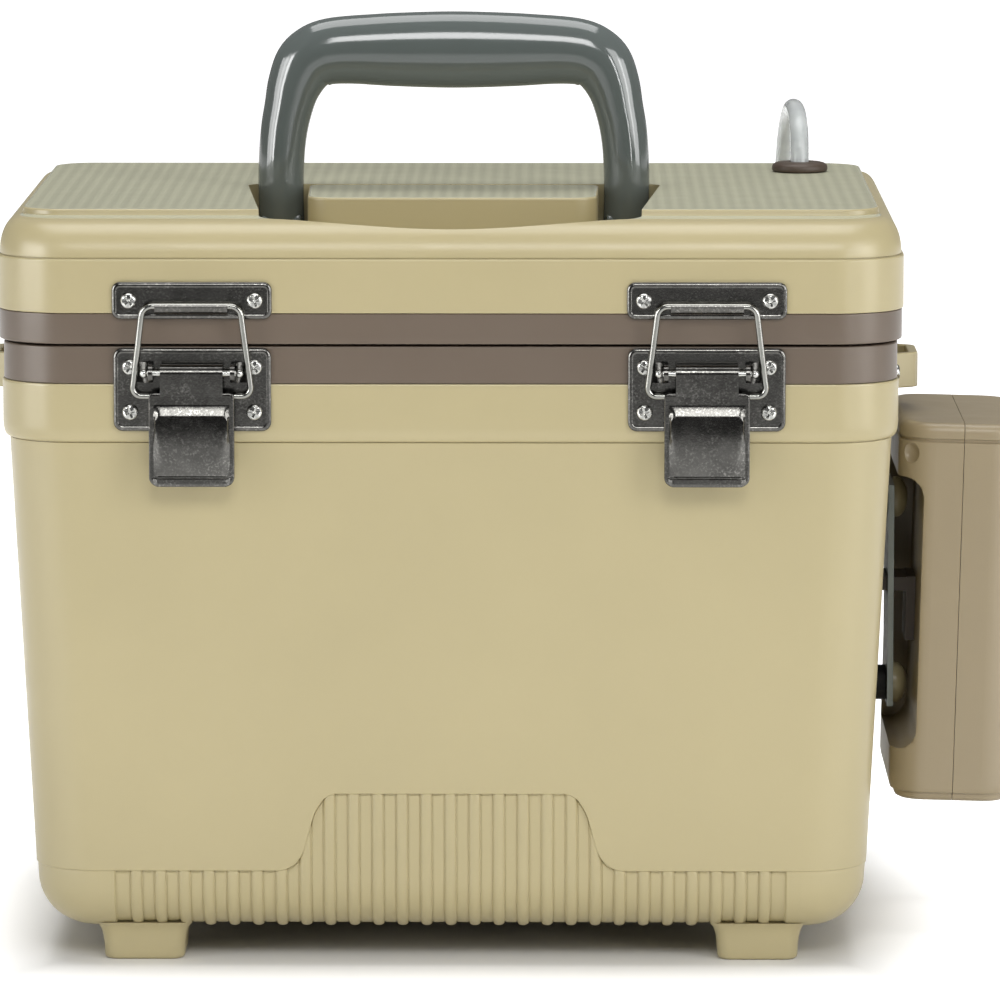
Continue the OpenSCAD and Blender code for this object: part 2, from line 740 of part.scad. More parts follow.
module latch_base(side) {
    color(dark_steel) translate([side * latch_x, 0, 0]) difference() {
        union() {
            translate([0, 0, latch_z])
                front_plate(rounded(box_corners(base_w / 2, -base_h / 2, base_h / 2), [3, 3, 3, 3]),
                            base_front + sheet, sheet);
            for (s = [-1, 1])
                translate([s * (barrel_w / 2 + ear_gap + ear_t / 2) - ear_t / 2, 0, 0]) {
                    bar_x(0, ear_t, lever_pin_y, lever_pin_z, 3);
                    translate([0, lever_pin_y, lever_pin_z - 3])
                        cube([ear_t, base_front - lever_pin_y + 0.2, 6]);
                }
        }
        bar_x(-base_w / 2, base_w / 2, lever_pin_y, lever_pin_z, lever_pin_r + pin_gap);
        for (dx = [-latch_screw_dx, latch_screw_dx], dz = [-latch_screw_dz, latch_screw_dz])
            bar_y(base_front - eps, base_front + sheet + eps, dx, latch_z + dz, screw_r + pin_gap);
    }
}

module latch_base_screws() {
    color(steel) for (side = [-1, 1], dx = [-latch_screw_dx, latch_screw_dx],
                      dz = [-latch_screw_dz, latch_screw_dz])
        translate([side * latch_x + dx, base_front, latch_z + dz]) screw(sheet + seat + 2);
}

module latch_pin(side) {
    reach = barrel_w / 2 + ear_gap + ear_t + 0.1;
    color(steel) bar_x(side * latch_x - reach, side * latch_x + reach,
                       lever_pin_y, lever_pin_z, lever_pin_r);
}

crown_r = 80;  // of the lever's thumb pad, from top to bottom
module latch_lever(side) {
    tip_z = lever_pin_z - lever_l;
    shoulder_z = lever_pin_z - 6.2;
    pad_z = tip_z + 3;
    flange_back = foot_y + 1.9;
    color(dark_steel) translate([side * latch_x, 0, 0]) difference() {
        union() {
            bar_x(-barrel_w / 2, barrel_w / 2, lever_pin_y, lever_pin_z, barrel_r);
            front_plate([[-barrel_w / 2, lever_pin_z], [-barrel_w / 2, shoulder_z - 1],
                         [barrel_w / 2, shoulder_z - 1], [barrel_w / 2, lever_pin_z]],
                        skin_y + sheet, sheet);
            front_plate(rounded(box_corners(lever_w / 2, tip_z, shoulder_z), [1.5, 1.5, 3, 3]),
                        skin_y + sheet, sheet);
            // Raised thumb pad, crowned from top to bottom
            intersection() {
                front_plate(rounded(box_corners(lever_w / 2 - 1.5, pad_z, shoulder_z - 4), [4, 4, 4, 4]),
                            skin_y + 0.5, 3);
                bar_x(-lever_w / 2, lever_w / 2, skin_y + crown_r - 1.5, (pad_z + shoulder_z - 4) / 2,
                      crown_r, $fn = 360);
            }
            // Lip along the lower edge
            translate([-lever_w / 2 + 3, skin_y - 1.6, tip_z]) cube([lever_w - 6, 2, 1.3]);
            for (s = [-1, 1])
                translate([s * (lever_w / 2 - sheet / 2) - sheet / 2, 0, 0]) rotate([90, 0, 90])
                    linear_extrude(sheet) polygon([
                        [skin_y + 0.4, shoulder_z], [flange_back, shoulder_z + 0.6],
                        [flange_back, foot_z - 3], [skin_y + 3, tip_z + 2], [skin_y + 0.4, tip_z + 2]]);
        }
        bar_x(-lever_w, lever_w, lever_pin_y, lever_pin_z, lever_pin_r + pin_gap);
        bar_x(-lever_w, lever_w, foot_y, foot_z, wire_r + pin_gap);
    }
}

// Middle line of the bail: in at one foot, up, across the top, down and in again
function bail_path() =
    let (r = 3.2, steps = 3,
         foot = [bail_foot_half, foot_y, foot_z], head = [bail_top_half, bail_top_y, bail_top_z],
         rise = unit(head - foot), inner = [lever_w / 2 - sheet - 0.5, foot_y, foot_z],
         half = concat(
             [inner, foot - [r, 0, 0]],
             [for (k = [1:steps]) let (a = 90 * k / steps)
                 foot - [r, 0, 0] * (1 - sin(a)) + rise * r * (1 - cos(a))],
             [for (k = [0:steps]) let (a = 90 * k / steps)
                 head - rise * r * (1 - sin(a)) - [r, 0, 0] * (1 - cos(a))]))
    concat(half, [for (i = [len(half) - 1:-1:0]) [-half[i].x, half[i].y, half[i].z]]);

module latch_bail(side) {
    path = bail_path();
    color(steel) translate([side * latch_x, 0, 0]) {
        sweep(path, [for (p = path) wire_r], [for (p = path) wire_r], [0, 1, 0], 12);
    }
}

keeper_w = 52.5;
keeper_h = 12.2;
hook_half = 11.5;
module latch_keeper(side) {
    hook_low = bail_top_z - wire_r - 0.3 - sheet;
    color(dark_steel) translate([side * latch_x, 0, 0]) difference() {
        union() {
            translate([0, 0, keeper_z])
                front_plate(rounded(box_corners(keeper_w / 2, -keeper_h / 2, keeper_h / 2),
                                    [2.7, 2.7, 2.7, 2.7]),
                            keeper_front + sheet, sheet);
            translate([-hook_half, bail_top_y - wire_r - 0.7 - sheet, hook_low])
                cube([2 * hook_half, keeper_front - bail_top_y + wire_r + 0.7 + sheet + 0.2, sheet]);
            translate([-hook_half, bail_top_y - wire_r - 0.7 - sheet, hook_low])
                cube([2 * hook_half, sheet, 4.2]);
        }
        for (dx = [-keeper_screw_dx, keeper_screw_dx])
            bar_y(keeper_front - eps, keeper_front + sheet + eps, dx, keeper_z, screw_r + pin_gap);
    }
}

module keeper_screws() {
    color(steel) for (side = [-1, 1], dx = [-keeper_screw_dx, keeper_screw_dx])
        translate([side * latch_x + dx, keeper_front, keeper_z]) screw(sheet + seat + 2);
}

// ---- Aerator -----------------------------------------------------------------------

pump_x = lid_half - 0.4 + pump_t / 2;
pump_mid_z = pump_z + pump_h / 2;
pump_r = 12;
case_t = 2.2;
recess_in = 8.7;      // depth of the channel in the pump's inner face
recess_low = -47.3;   // its ends, from the pump's middle
recess_high = 45.8;
recess_r = 7;         // of its corners
cap_h = 5.4;          // height of the cap above the groove
seam = 0.15;

// Everything of the pump is drawn upright about its middle and then leaned
module leaned() {
    translate([pump_x, 0, pump_mid_z]) rotate([0, pump_lean, 0]) children();
}

function case_level(inset, z, taper = 0) =
    ring(pump_t / 2 - inset - taper, pump_w / 2 - inset - taper, pump_r - inset, z);

function case_outside() =
    let (low = -pump_h / 2, high = pump_h / 2)
    [case_level(4, low), case_level(2.6, low + 1), case_level(2.2, low + 3), case_level(0.9, low + 3),
     case_level(0.4, low + 6), case_level(0, high - cap_h - 1.2), case_level(0.9, high - cap_h - 0.8),
     case_level(0.9, high - cap_h), case_level(0.1, high - cap_h + 0.2), case_level(0.2, high - 2.4),
     case_level(1.2, high - 0.7), case_level(3, high)];

module recess(inset) {
    deep = -pump_t / 2 + recess_in - inset;
    open = -pump_t / 2 - 5;
    translate([0, pump_w, 0]) rotate([90, 0, 0]) linear_extrude(2 * pump_w)
        polygon(rounded([[deep, recess_high - inset], [open, recess_high - inset],
                         [open, recess_low + inset], [deep, recess_low + inset]],
                        [recess_r - inset, 0, 0, recess_r - inset]));
}

// Screw pocket in the rounded front corner of the inner half
module screw_pocket() {
    translate([-pump_t / 2 + 3.1, -pump_w / 2 + 1.6, pump_h / 2 - cap_h - 4.7]) sphere(r = 3.2);
}

module pump_case(outer) {
    low = -pump_h / 2;
    high = pump_h / 2;
    color(pump_plastic) leaned() difference() {
        loft(case_outside());
        difference() {
            loft([case_level(case_t + 0.8, low + case_t + 3), case_level(case_t + 0.4, high - cap_h - 2),
                  case_level(case_t + 3, high - 2.6)]);
            if (!outer) recess(-case_t);
            if (outer) translate([1, -pump_w / 2, shelf_low]) cube([pump_t, pump_w, shelf_top - shelf_low]);
        }
        if (!outer) {
            recess(0);
            screw_pocket();
        }
        translate([outer ? -pump_t : -seam / 2, -pump_w, -pump_h])
            cube([outer ? pump_t + seam / 2 : pump_t, 2 * pump_w, 2 * pump_h]);
        // Nozzle hole at the back, clip screw, and the openings in the outer half
        bar_y(pump_w / 2 - 8, pump_w / 2 + 2, 0, nozzle_z, nozzle_r + pin_gap);
        if (outer) {
            bar_x(0, pump_t, 0, button_z, button_r + 0.4);
            for (s = [-1, 1], z = [case_screw_low, case_screw_high])
                bar_x(pump_t / 2 - 1.6, pump_t, s * case_screw_y, z, 3);
            translate([0, -port_w / 2 + 1.4, port_z - port_h / 2 + 1.4])
                cube([pump_t, port_w - 2.8, port_h - 2.8]);
        }
        if (!outer)
            bar_x(-pump_t, 0, 0, clip_z - 10, screw_r + pin_gap);
    }
}

nozzle_z = 50.6;
nozzle_r = 4.2;
button_z = 30;
button_r = 9;
button_travel = 1.5;
case_screw_y = 36;
case_screw_low = -54;
case_screw_high = 50;
port_w = 18;
port_h = 11;
port_z = -38;
clip_z = 2.6;
cell_r = 9.2;
cell_l = 65;
cell_x = 4.5;
shelf_low = 6.2;    // shelf in the outer half that carries the motor over the cells
shelf_top = shelf_low + 2;
motor_h = 27;
diaphragm_h = 26;
board_w = 60;
board_h = 58;
board_t = 1.6;

module pump_nozzle() {
    color(black_rubber) leaned() difference() {
        union() {
            bar_y(pump_w / 2 - 7, pump_w / 2 + 1, 0, nozzle_z, nozzle_r);
            bar_y(pump_w / 2 + 0.3, pump_w / 2 + 4, 0, nozzle_z, 5.6);
        }
        bar_y(pump_w / 2 - 8, pump_w / 2 + 5, 0, nozzle_z, 1.2);
    }
}

module pump_battery() {
    color([0.25, 0.45, 0.30]) leaned() for (s = [-1, 1])
        translate([cell_x, s * (cell_r + 0.3), shelf_low - slack - cell_l]) cylinder(h = cell_l, r = cell_r);
}

module pump_motor() {
    color(steel) leaned() {
        translate([cell_x, -14, shelf_top + slack]) cylinder(h = motor_h, r = 12);
        translate([cell_x, -14, shelf_top + slack + motor_h]) cylinder(h = 3, r = 3);
    }
}

module pump_diaphragm() {
    color(black_rubber) leaned() {
        seat_z = shelf_top + slack;
        translate([-6.5, -1.7, seat_z]) cube([19, 22, diaphragm_h]);
        translate([-5, 6, seat_z + diaphragm_h]) cube([15, 18, 6]);
        translate([0, 20, seat_z + diaphragm_h + 6])
            cylinder(h = nozzle_z - shelf_top - diaphragm_h - 3, r = 2.5);
        bar_y(20, pump_w / 2 - 7.1, 0, nozzle_z, 2.4);
    }
}

module pump_board() {
    color([0.12, 0.35, 0.20]) leaned() {
        translate([cell_x + cell_r + slack, -board_w / 2, shelf_low - slack - board_h])
            cube([board_t, board_w, board_h]);
        translate([cell_x + cell_r + slack + board_t - 0.1, -4, shelf_low - slack - board_h + 6])
            cube([2, 8, 7]);
    }
}

module pump_button() {
    color(black_rubber) leaned() {
        bar_x(pump_t / 2 - 4, pump_t / 2 + 1.8, 0, button_z, button_r);
        bar_x(pump_t / 2 - 5, pump_t / 2 - 3.9, 0, button_z, button_r - 2);
    }
}

module port_cover() {
    color(black_rubber) leaned() {
        translate([pump_t / 2 + 0.1, -port_w / 2, port_z - port_h / 2]) cube([1.2, port_w, port_h]);
        bar_y(-port_w / 2, port_w / 2, pump_t / 2 + 0.9, port_z + port_h / 2, 0.8);
    }
}

module pump_screws() {
    color(steel) leaned() {
        for (s = [-1, 1], z = [case_screw_low, case_screw_high])
            bar_x(pump_t / 2 - 1.5, pump_t / 2 - 0.4, s * case_screw_y, z, 2.8);
    }
}

clip_half = 11;
module pump_clip() {
    color(black_rubber) leaned() {
        translate([-pump_t / 2 + recess_in - 3.2, -clip_half, clip_z - 17]) cube([3.1, 2 * clip_half, 22]);
        translate([-pump_t / 2 - 4.2, -clip_half, clip_z]) cube([recess_in + 2, 2 * clip_half, 4.6]);
        translate([-pump_t / 2 - 4.2, -clip_half, clip_z - 5]) cube([1.3, 2 * clip_half, 6]);
    }
}

module aerator_bracket() {
    color(steel) difference() {
        translate([bracket_x, -bracket_half, bracket_low_z - 6])
            cube([bracket_t, 2 * bracket_half, bracket_top_z - bracket_low_z + 12]);
        for (z = [bracket_top_z, bracket_low_z])
            bar_x(bracket_x - 1, bracket_x + bracket_t + 1, 0, z, bracket_screw_r + pin_gap);
        translate([bracket_x - 1, -clip_half - 0.6, pump_mid_z + clip_z - 0.6])
            cube([bracket_t + 2, 2 * clip_half + 1.2, 6.6]);
    }
}

function wall_x(z) = wall_half - (flange_low - z) * tan(tub_draft);

module bracket_spacers() {
    color(black_rubber) for (z = [bracket_top_z, bracket_low_z]) difference() {
        bar_x(wall_x(z + 6) + seat, bracket_x - seat, 0, z, 6);
        bar_x(wall_x(z) - 5, bracket_x + 5, 0, z, bracket_screw_r + pin_gap);
    }
}

module bracket_screws() {
    color(steel) for (z = [bracket_top_z, bracket_low_z]) {
        bar_x(wall_x(z) - wall - 4, bracket_x + bracket_t + 2.2, 0, z, bracket_screw_r);
        bar_x(wall_x(z) - wall - 5, wall_x(z) - wall - 1, 0, z, 5);
    }
}

cap_r = 7;
cap_edge = 1.2;  // straight edge below the cap's dome
dome = concat([[0, 0], [cap_r, 0]],
              [for (k = [0:6]) let (a = 15 * k) [cap_r * cos(a), cap_edge + 4 * sin(a)]]);
module bracket_caps() {
    x = bracket_x + bracket_t + seat;
    color(tan_plastic) for (z = [bracket_top_z, bracket_low_z]) difference() {
        translate([x, 0, z]) rotate([0, 90, 0]) rotate_extrude() polygon(dome);
        bar_x(x - 1, x + 2.5, 0, z, bracket_screw_r + pin_gap);
    }
}

// Air hose. Its outer stretch runs from the pump to the grommet and on into the lid,
// its inner stretch from there down to the stone
hose_outer_points = [
    [120, 55, 230], [120, 55, 244], [120, 55, 256], [119.9, 58, 265.5], [119.5, 66.5, 271],
    [118.9, 79, 273], [118.2, 92, 271.5], [117.4, 104, 266], [116.7, 113, 256.5],
    [116.3, 118, 244], [116.6, 120.4, 229],
    [118, 121.5, 212], [122, 121.5, 196], [129, 119, 183], [139, 113.5, 173], [150, 105, 166.5],
    [160.5, 93, 163], [168, 79, 161.9], [172, 67, 161.8], [172.6, 57, 161.8], [172.6, 49.3, 161.8]
];
hose_inner_points = [
    [120, 55, 229.7], [120, 55, 215], [119.8, 55, 200], [118.8, 54, 182], [116.5, 51, 160],
    [113.5, 47, 136], [111, 42, 112], [109.5, 37, 88], [108.5, 32.5, 66], [105.5, 28.5, 49],
    [98.5, 25, 37.5], [88, 22.5, 33.6], [76, 22, 33.4]
];

module hose(points) {
    path = smooth(points, 2);
    color(clear_hose) sweep(path, [for (p = path) hose_r], [for (p = path) hose_r], [1, 0, 0], 10);
}

module air_stone() {
    color([0.62, 0.68, 0.72]) translate([47.7, 22, floor_z + 7.4]) rotate([0, 90, 0]) {
        cylinder(h = 28, r = 7);
        translate([0, 0, -1.5]) cylinder(h = 1.5, r1 = 5.5, r2 = 7);
    }
}

tub_shell();
tub_liner();
tub_insulation();
strap_lug(-1);  // strap_lug_left
strap_lug(1);  // strap_lug_right
lug_rivets();
hinge_leaf(-hinge_x, -1, parting_z - hinge_screw_dz);  // hinge_leaf_tub_left
hinge_leaf(hinge_x, -1, parting_z - hinge_screw_dz);  // hinge_leaf_tub_right
hinge_pin(-hinge_x);  // hinge_pin_left
hinge_pin(hinge_x);  // hinge_pin_right
hinge_screws(parting_z - hinge_screw_dz);  // hinge_screws_tub
latch_base(-1);  // latch_base_left
latch_base(1);  // latch_base_right
latch_base_screws();
latch_pin(-1);  // latch_pin_left
latch_pin(1);  // latch_pin_right
aerator_bracket();
bracket_spacers();
bracket_screws();
bracket_caps();
pump_case(false);  // pump_case_inner
pump_case(true);  // pump_case_outer
pump_battery();
pump_motor();
pump_diaphragm();
pump_board();
pump_nozzle();
pump_clip();
pump_screws();
air_stone();
lid_shell();
lid_liner();
lid_insulation();
lid_gasket();
hose_grommet();
hinge_leaf(-hinge_x, 1, parting_z + hinge_screw_dz);  // hinge_leaf_lid_left
hinge_leaf(hinge_x, 1, parting_z + hinge_screw_dz);  // hinge_leaf_lid_right
hinge_screws(parting_z + hinge_screw_dz);  // hinge_screws_lid
latch_keeper(-1);  // latch_keeper_left
latch_keeper(1);  // latch_keeper_right
keeper_screws();
handle_pins();
hose(hose_outer_points);  // air_hose
hose(hose_inner_points);  // air_hose_inner
handle();
latch_lever(-1);  // latch_lever_left
latch_lever(1);  // latch_lever_right
latch_bail(-1);  // latch_bail_left
latch_bail(1);  // latch_bail_right
pump_button();
port_cover();
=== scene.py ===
"""Looks of the aerated bait bucket: an insulated box with a hinged lid, two draw latches, a
swinging handle and an air pump on its side. Metres, +Z up, front towards -Y. Pieces are drawn in
millimetres with the CAD's own sizes and scaled when their mesh is made."""
import json
import math

import bmesh
import bpy
from mathutils import Matrix, Vector


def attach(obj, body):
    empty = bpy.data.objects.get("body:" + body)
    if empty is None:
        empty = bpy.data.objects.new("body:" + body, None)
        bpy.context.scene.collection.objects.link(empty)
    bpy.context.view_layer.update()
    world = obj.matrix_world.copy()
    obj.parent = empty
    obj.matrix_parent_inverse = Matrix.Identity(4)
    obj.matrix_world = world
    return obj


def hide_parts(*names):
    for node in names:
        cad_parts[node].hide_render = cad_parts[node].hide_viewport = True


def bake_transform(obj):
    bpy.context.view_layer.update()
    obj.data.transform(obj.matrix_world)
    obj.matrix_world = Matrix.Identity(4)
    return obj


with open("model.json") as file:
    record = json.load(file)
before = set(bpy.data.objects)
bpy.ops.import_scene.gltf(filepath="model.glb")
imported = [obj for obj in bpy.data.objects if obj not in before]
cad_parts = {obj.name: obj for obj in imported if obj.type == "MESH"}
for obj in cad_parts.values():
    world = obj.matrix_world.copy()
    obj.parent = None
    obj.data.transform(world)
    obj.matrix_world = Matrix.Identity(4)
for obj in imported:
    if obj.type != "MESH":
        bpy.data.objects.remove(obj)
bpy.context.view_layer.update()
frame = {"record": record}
MM = 0.001
BODY_OF = {node: body for body, nodes in frame["record"]["behaviour"]["bodies"].items()
           for node in nodes}

# ---- Camera ----------------------------------------------------------------------------------
camera = bpy.data.objects.new("camera", bpy.data.cameras.new("camera"))
bpy.context.scene.collection.objects.link(camera)
camera.location = (0.0358, -2.4853, 0.4723)
camera.rotation_euler = (Vector((0.0166, -0.109, 0.1585)) - camera.location).to_track_quat(
    "-Z", "Y").to_euler()
camera.data.lens = 262.3
camera.data.sensor_width = 36
bpy.context.scene.camera = camera
bpy.context.scene.view_settings.view_transform = "Standard"


# ---- Meshes ----------------------------------------------------------------------------------
def cos(deg):
    return math.cos(math.radians(deg))


def sin(deg):
    return math.sin(math.radians(deg))


def shade_smooth(obj, degrees):
    """Smooth shading that leaves every edge sharper than an angle crisp."""
    obj.data.set_sharp_from_angle(angle=math.radians(degrees))
    obj.modifiers.new("normals", "WEIGHTED_NORMAL").keep_sharp = True


def build(name, parts, node=None, material=None, sharp=32.0, bevel=0.0, place=None):
    """One object from (vertices, faces) parts in millimetres. It stands for the CAD node that is
    named and rides on that node's body."""
    verts, faces = [], []
    for part_verts, part_faces in parts:
        shift = len(verts)
        verts += [tuple(v) for v in part_verts]
        faces += [tuple(i + shift for i in f) for f in part_faces]
    mesh = bpy.data.meshes.new(name)
    mesh.from_pydata(verts, [], faces)
    mesh.validate()
    if place:
        mesh.transform(place)
    mesh.transform(Matrix.Scale(MM, 4))
    work = bmesh.new()
    work.from_mesh(mesh)
    bmesh.ops.remove_doubles(work, verts=work.verts, dist=1e-7)
    bmesh.ops.recalc_face_normals(work, faces=work.faces)
    work.to_mesh(mesh)
    work.free()
    mesh.polygons.foreach_set("use_smooth", [True] * len(mesh.polygons))
    obj = bpy.data.objects.new(name, mesh)
    bpy.context.scene.collection.objects.link(obj)
    if bevel:
        rounding = obj.modifiers.new("rounding", "BEVEL")
        rounding.width, rounding.segments = bevel * MM, 3
        rounding.limit_method, rounding.angle_limit = "ANGLE", math.radians(35)
        bake(obj)
    shade_smooth(obj, sharp)
    if node:
        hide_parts(node)
        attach(obj, BODY_OF[node])
    if material:
        obj.data.materials.append(material)
    return obj


def bake(obj):
    """The object's mesh with its modifiers worked in."""
    bpy.context.view_layer.update()
    result = bpy.data.meshes.new_from_object(
        obj.evaluated_get(bpy.context.evaluated_depsgraph_get()))
    obj.modifiers.clear()
    obj.data = result
    result.polygons.foreach_set("use_smooth", [True] * len(result.polygons))


def cut_away(obj, parts=None, tool=None):
    """Takes closed parts, or another closed object, away from an object."""
    tool = tool or build("cutter", parts)
    tool.modifiers.clear()
    obj.modifiers.clear()
    cut = obj.modifiers.new("cut", "BOOLEAN")
    cut.operation, cut.object, cut.solver = "DIFFERENCE", tool, "EXACT"
    bake(obj)
    bpy.data.objects.remove(tool)
    shade_smooth(obj, 35)


def soften(obj, width, chosen):
    """Rounds the edges that are chosen by their two ends, in millimetres."""
    obj.modifiers.clear()
    weights = obj.data.attributes.new("bevel_weight_edge", "FLOAT", "EDGE")
    points = obj.data.vertices
    for edge in obj.data.edges:
        a, b = (points[i].co / MM for i in edge.vertices)
        weights.data[edge.index].value = float(chosen(a, b))
    rounding = obj.modifiers.new("rounding", "BEVEL")
    rounding.width, rounding.segments, rounding.limit_method = width * MM, 2, "WEIGHT"
    bake(obj)
    shade_smooth(obj, 40)


def skin(rows, closed=True, cap_start=False, cap_end=False):
    """Vertices and faces of a surface through rows of points."""
    n = len(rows[0])
    verts = [p for row in rows for p in row]
    faces = []
    for j in range(len(rows) - 1):
        for i in range(n if closed else n - 1):
            a, b = j * n + i, j * n + (i + 1) % n
            faces.append((a, b, b + n, a + n))
    if cap_start:
        faces.append(tuple(range(n - 1, -1, -1)))
    if cap_end:
        last = (len(rows) - 1) * n
        faces.append(tuple(range(last, last + n)))
    return verts, faces


def solid(rows):
    return skin(rows, cap_start=True, cap_end=True)


def ring(half_x, half_y, r, z, steps=12, fronts=None):
    """Rounded rectangle, counter-clockwise, with points along its straight sides."""
    out = []
    for corner in range(4):
        side_x, side_y = (1 if corner in (0, 3) else -1), (1 if corner < 2 else -1)
        for i in range(steps + 1):
            a = 90 * (corner + i / steps)
            out.append((side_x * (half_x - r) + r * cos(a), side_y * (half_y - r) + r * sin(a), z))
        if corner == 2 and fronts:
            out += [(x, -half_y, z) for x in fronts]
            continue
        for f in (-0.97, 0, 0.97):
            across, along = f * (half_x - r), f * (half_y - r)
            out.append([(-across, half_y, z), (-half_x, -along, z),
                        (across, -half_y, z), (half_x, along, z)][corner])
    return out


NARROWER = 41


def level(half, r, z, **more):
    """Ring of the box from its half width; its half depth is a fixed amount less."""
    return ring(half, half - NARROWER, r, z, **more)


def rounded(corners, radii, steps=8):
    """Outline in the plane with its corners rounded; a radius of 0 keeps the corner."""
    out, n = [], len(corners)
    for i, r in enumerate(radii):
        p = Vector(corners[i])
        if not r:
            out.append(tuple(p))
            continue
        a = (Vector(corners[i - 1]) - p).normalized()
        b = (Vector(corners[(i + 1) % n]) - p).normalized()
        half = math.acos(max(-1, min(1, a.dot(b)))) / 2
        middle = p + (a + b).normalized() * r / math.sin(half)
        first = p + a * r / math.tan(half) - middle
        start, turn = math.atan2(first.y, first.x), math.pi - 2 * half
        for k in range(steps + 1):
            t = start + turn * k / steps
            out.append((middle.x + r * math.cos(t), middle.y + r * math.sin(t)))
    return out


def rect(half_x, half_y, r, cx=0.0, cy=0.0, steps=6):
    return rounded([(cx + half_x, cy + half_y), (cx - half_x, cy + half_y),
                    (cx - half_x, cy - half_y), (cx + half_x, cy - half_y)], [r] * 4, steps)


def prism(outline, low, high, axis="z"):
    """Outline extruded along an axis: in XY along z, in XZ along y, or in YZ along x."""
    def at(p, h):
        return {"z": (p[0], p[1], h), "y": (p[0], h, p[1]), "x": (h, p[0], p[1])}[axis]
    return solid([[at(p, low) for p in outline], [at(p, high) for p in outline]])


def turned(profile, centre, axis="z", sides=48):
    """Closed (radius, height) profile turned about an axis through centre."""
    rows = []
    for r, h in profile:
        row = []
        for k in range(sides):
            a = 360 * k / sides
            u, w = r * cos(a), r * sin(a)
            row.append({"z": (u, w, h), "y": (u, h, w), "x": (h, u, w)}[axis])
        rows.append([tuple(Vector(p) + Vector(centre)) for p in row])
    return rows


def ball(centre, r, sides=32):
    return solid(turned([(max(r * sin(a), 0.01), -r * cos(a)) for a in range(0, 181, 10)],
                        centre, "z", sides))


def bar(axis, low, high, centre, r, edge=0.25, sides=32):
    """Round bar with softened ends, along an axis."""
    return solid(turned([(r - edge, low), (r - 0.3 * edge, low + 0.3 * edge), (r, low + edge),
                         (r, high - edge), (r - 0.3 * edge, high - 0.3 * edge), (r - edge, high)],
                        centre, axis, sides))


def frames_along(path, start):
    """For each point of a path its tangent and two directions across it, carried without twist."""
    out, side = [], Vector(start)
    for i in range(len(path)):
        t = (path[min(i + 1, len(path) - 1)] - path[max(i - 1, 0)]).normalized()
        side = (side - side.dot(t) * t).normalized()
        out.append((t, side, t.cross(side)))
    return out


def smooth_path(points, steps):
    """The curve through a list of points."""
    out = []
    for i in range(len(points) - 1):
        a, b = points[max(i - 1, 0)], points[i]
        c, d = points[i + 1], points[min(i + 2, len(points) - 1)]
        for k in range(steps):
            t = k / steps
            out.append(0.5 * (2 * b + (c - a) * t + (2 * a - 5 * b + 4 * c - d) * t * t
                              + (3 * b - a - 3 * c + d) * t ** 3))
    return out + [points[-1]]


def circles(path, radius, sides=20, start=(1, 0, 0)):
    return [[tuple(p + radius * (cos(360 * k / sides) * u + sin(360 * k / sides) * w))
             for k in range(sides)] for p, (t, u, w) in zip(path, frames_along(path, start))]


# ---- Materials -------------------------------------------------------------------------------
def srgb(r, g, b):
    """Linear colour from 0-255 display values."""
    return tuple(c / 255 / 12.92 if c / 255 <= 0.04045 else ((c / 255 + 0.055) / 1.055) ** 2.4
                 for c in (r, g, b)) + (1.0,)


class Nodes:
    """Short calls for the nodes of a material or a world."""

    def __init__(self, owner, shader="Principled BSDF", place="Object"):
        owner.use_nodes = True
        self.owner, self.tree = owner, owner.node_tree
        self.shader = self.tree.nodes[shader]
        self.place = self.add("ShaderNodeTexCoord").outputs[place]

    def plug(self, node, inputs):
        """Gives each input a value or another node's output."""
        for key, value in inputs.items():
            if hasattr(value, "is_output"):
                self.tree.links.new(value, node.inputs[key])
            else:
                node.inputs[key].default_value = value

    def add(self, kind, inputs=None, **settings):
        node = self.tree.nodes.new(kind)
        for key, value in settings.items():
            setattr(node, key, value)
        self.plug(node, inputs or {})
        return node

    def set(self, **values):
        self.plug(self.shader, {key.replace("_", " "): value for key, value in values.items()})
        return self.owner

    def noise(self, scale, detail=3.0, rough=0.6, stretch=None, distortion=0.0):
        where = self.place
        if stretch:
            where = self.add("ShaderNodeMapping", {"Vector": where, "Scale": stretch}).outputs[0]
        return self.add("ShaderNodeTexNoise", {"Vector": where, "Scale": scale, "Detail": detail,
                                               "Roughness": rough,
                                               "Distortion": distortion}).outputs["Fac"]

    def ramp(self, value, stops):
        node = self.add("ShaderNodeValToRGB", {"Fac": value})
        ramp = node.color_ramp
        while len(ramp.elements) < len(stops):
            ramp.elements.new(0.5)
        for element, (at, colour) in zip(ramp.elements, stops):
            element.position, element.color = at, colour
        return node.outputs["Color"]

    def span(self, value, low, high, to_low, to_high):
        return self.add("ShaderNodeMapRange", {"Value": value, "From Min": low, "From Max": high,
                                               "To Min": to_low, "To Max": to_high}).outputs[0]

    def mix(self, share, a, b):
        return self.add("ShaderNodeMix", {0: share, 6: a, 7: b}, data_type="RGBA").outputs[2]

    def math(self, kind, a, b=0.0):
        return self.add("ShaderNodeMath", {0: a, 1: b}, operation=kind).outputs[0]

    def axis(self, name):
        return self.add("ShaderNodeSeparateXYZ", {0: self.place}).outputs[name]

    def wave(self, value, pitch):
        """0 to 1 and back once for each pitch of a coordinate."""
        turn = self.math("MULTIPLY", value, 2 * math.pi / pitch)
        return self.span(self.math("SINE", turn), -1, 1, 0, 1)

    def bump(self, height, distance, strength=1.0, under=None):
        inputs = {"Height": height, "Distance": distance, "Strength": strength}
        if under:
            inputs["Normal"] = under
        return self.add("ShaderNodeBump", inputs).outputs[0]

KNURL_COLUMN, KNURL_ROW = 0.0042, 0.0013  # pitches


def tint(colour, factor):
    return tuple(c * factor for c in colour[:3]) + (1.0,)


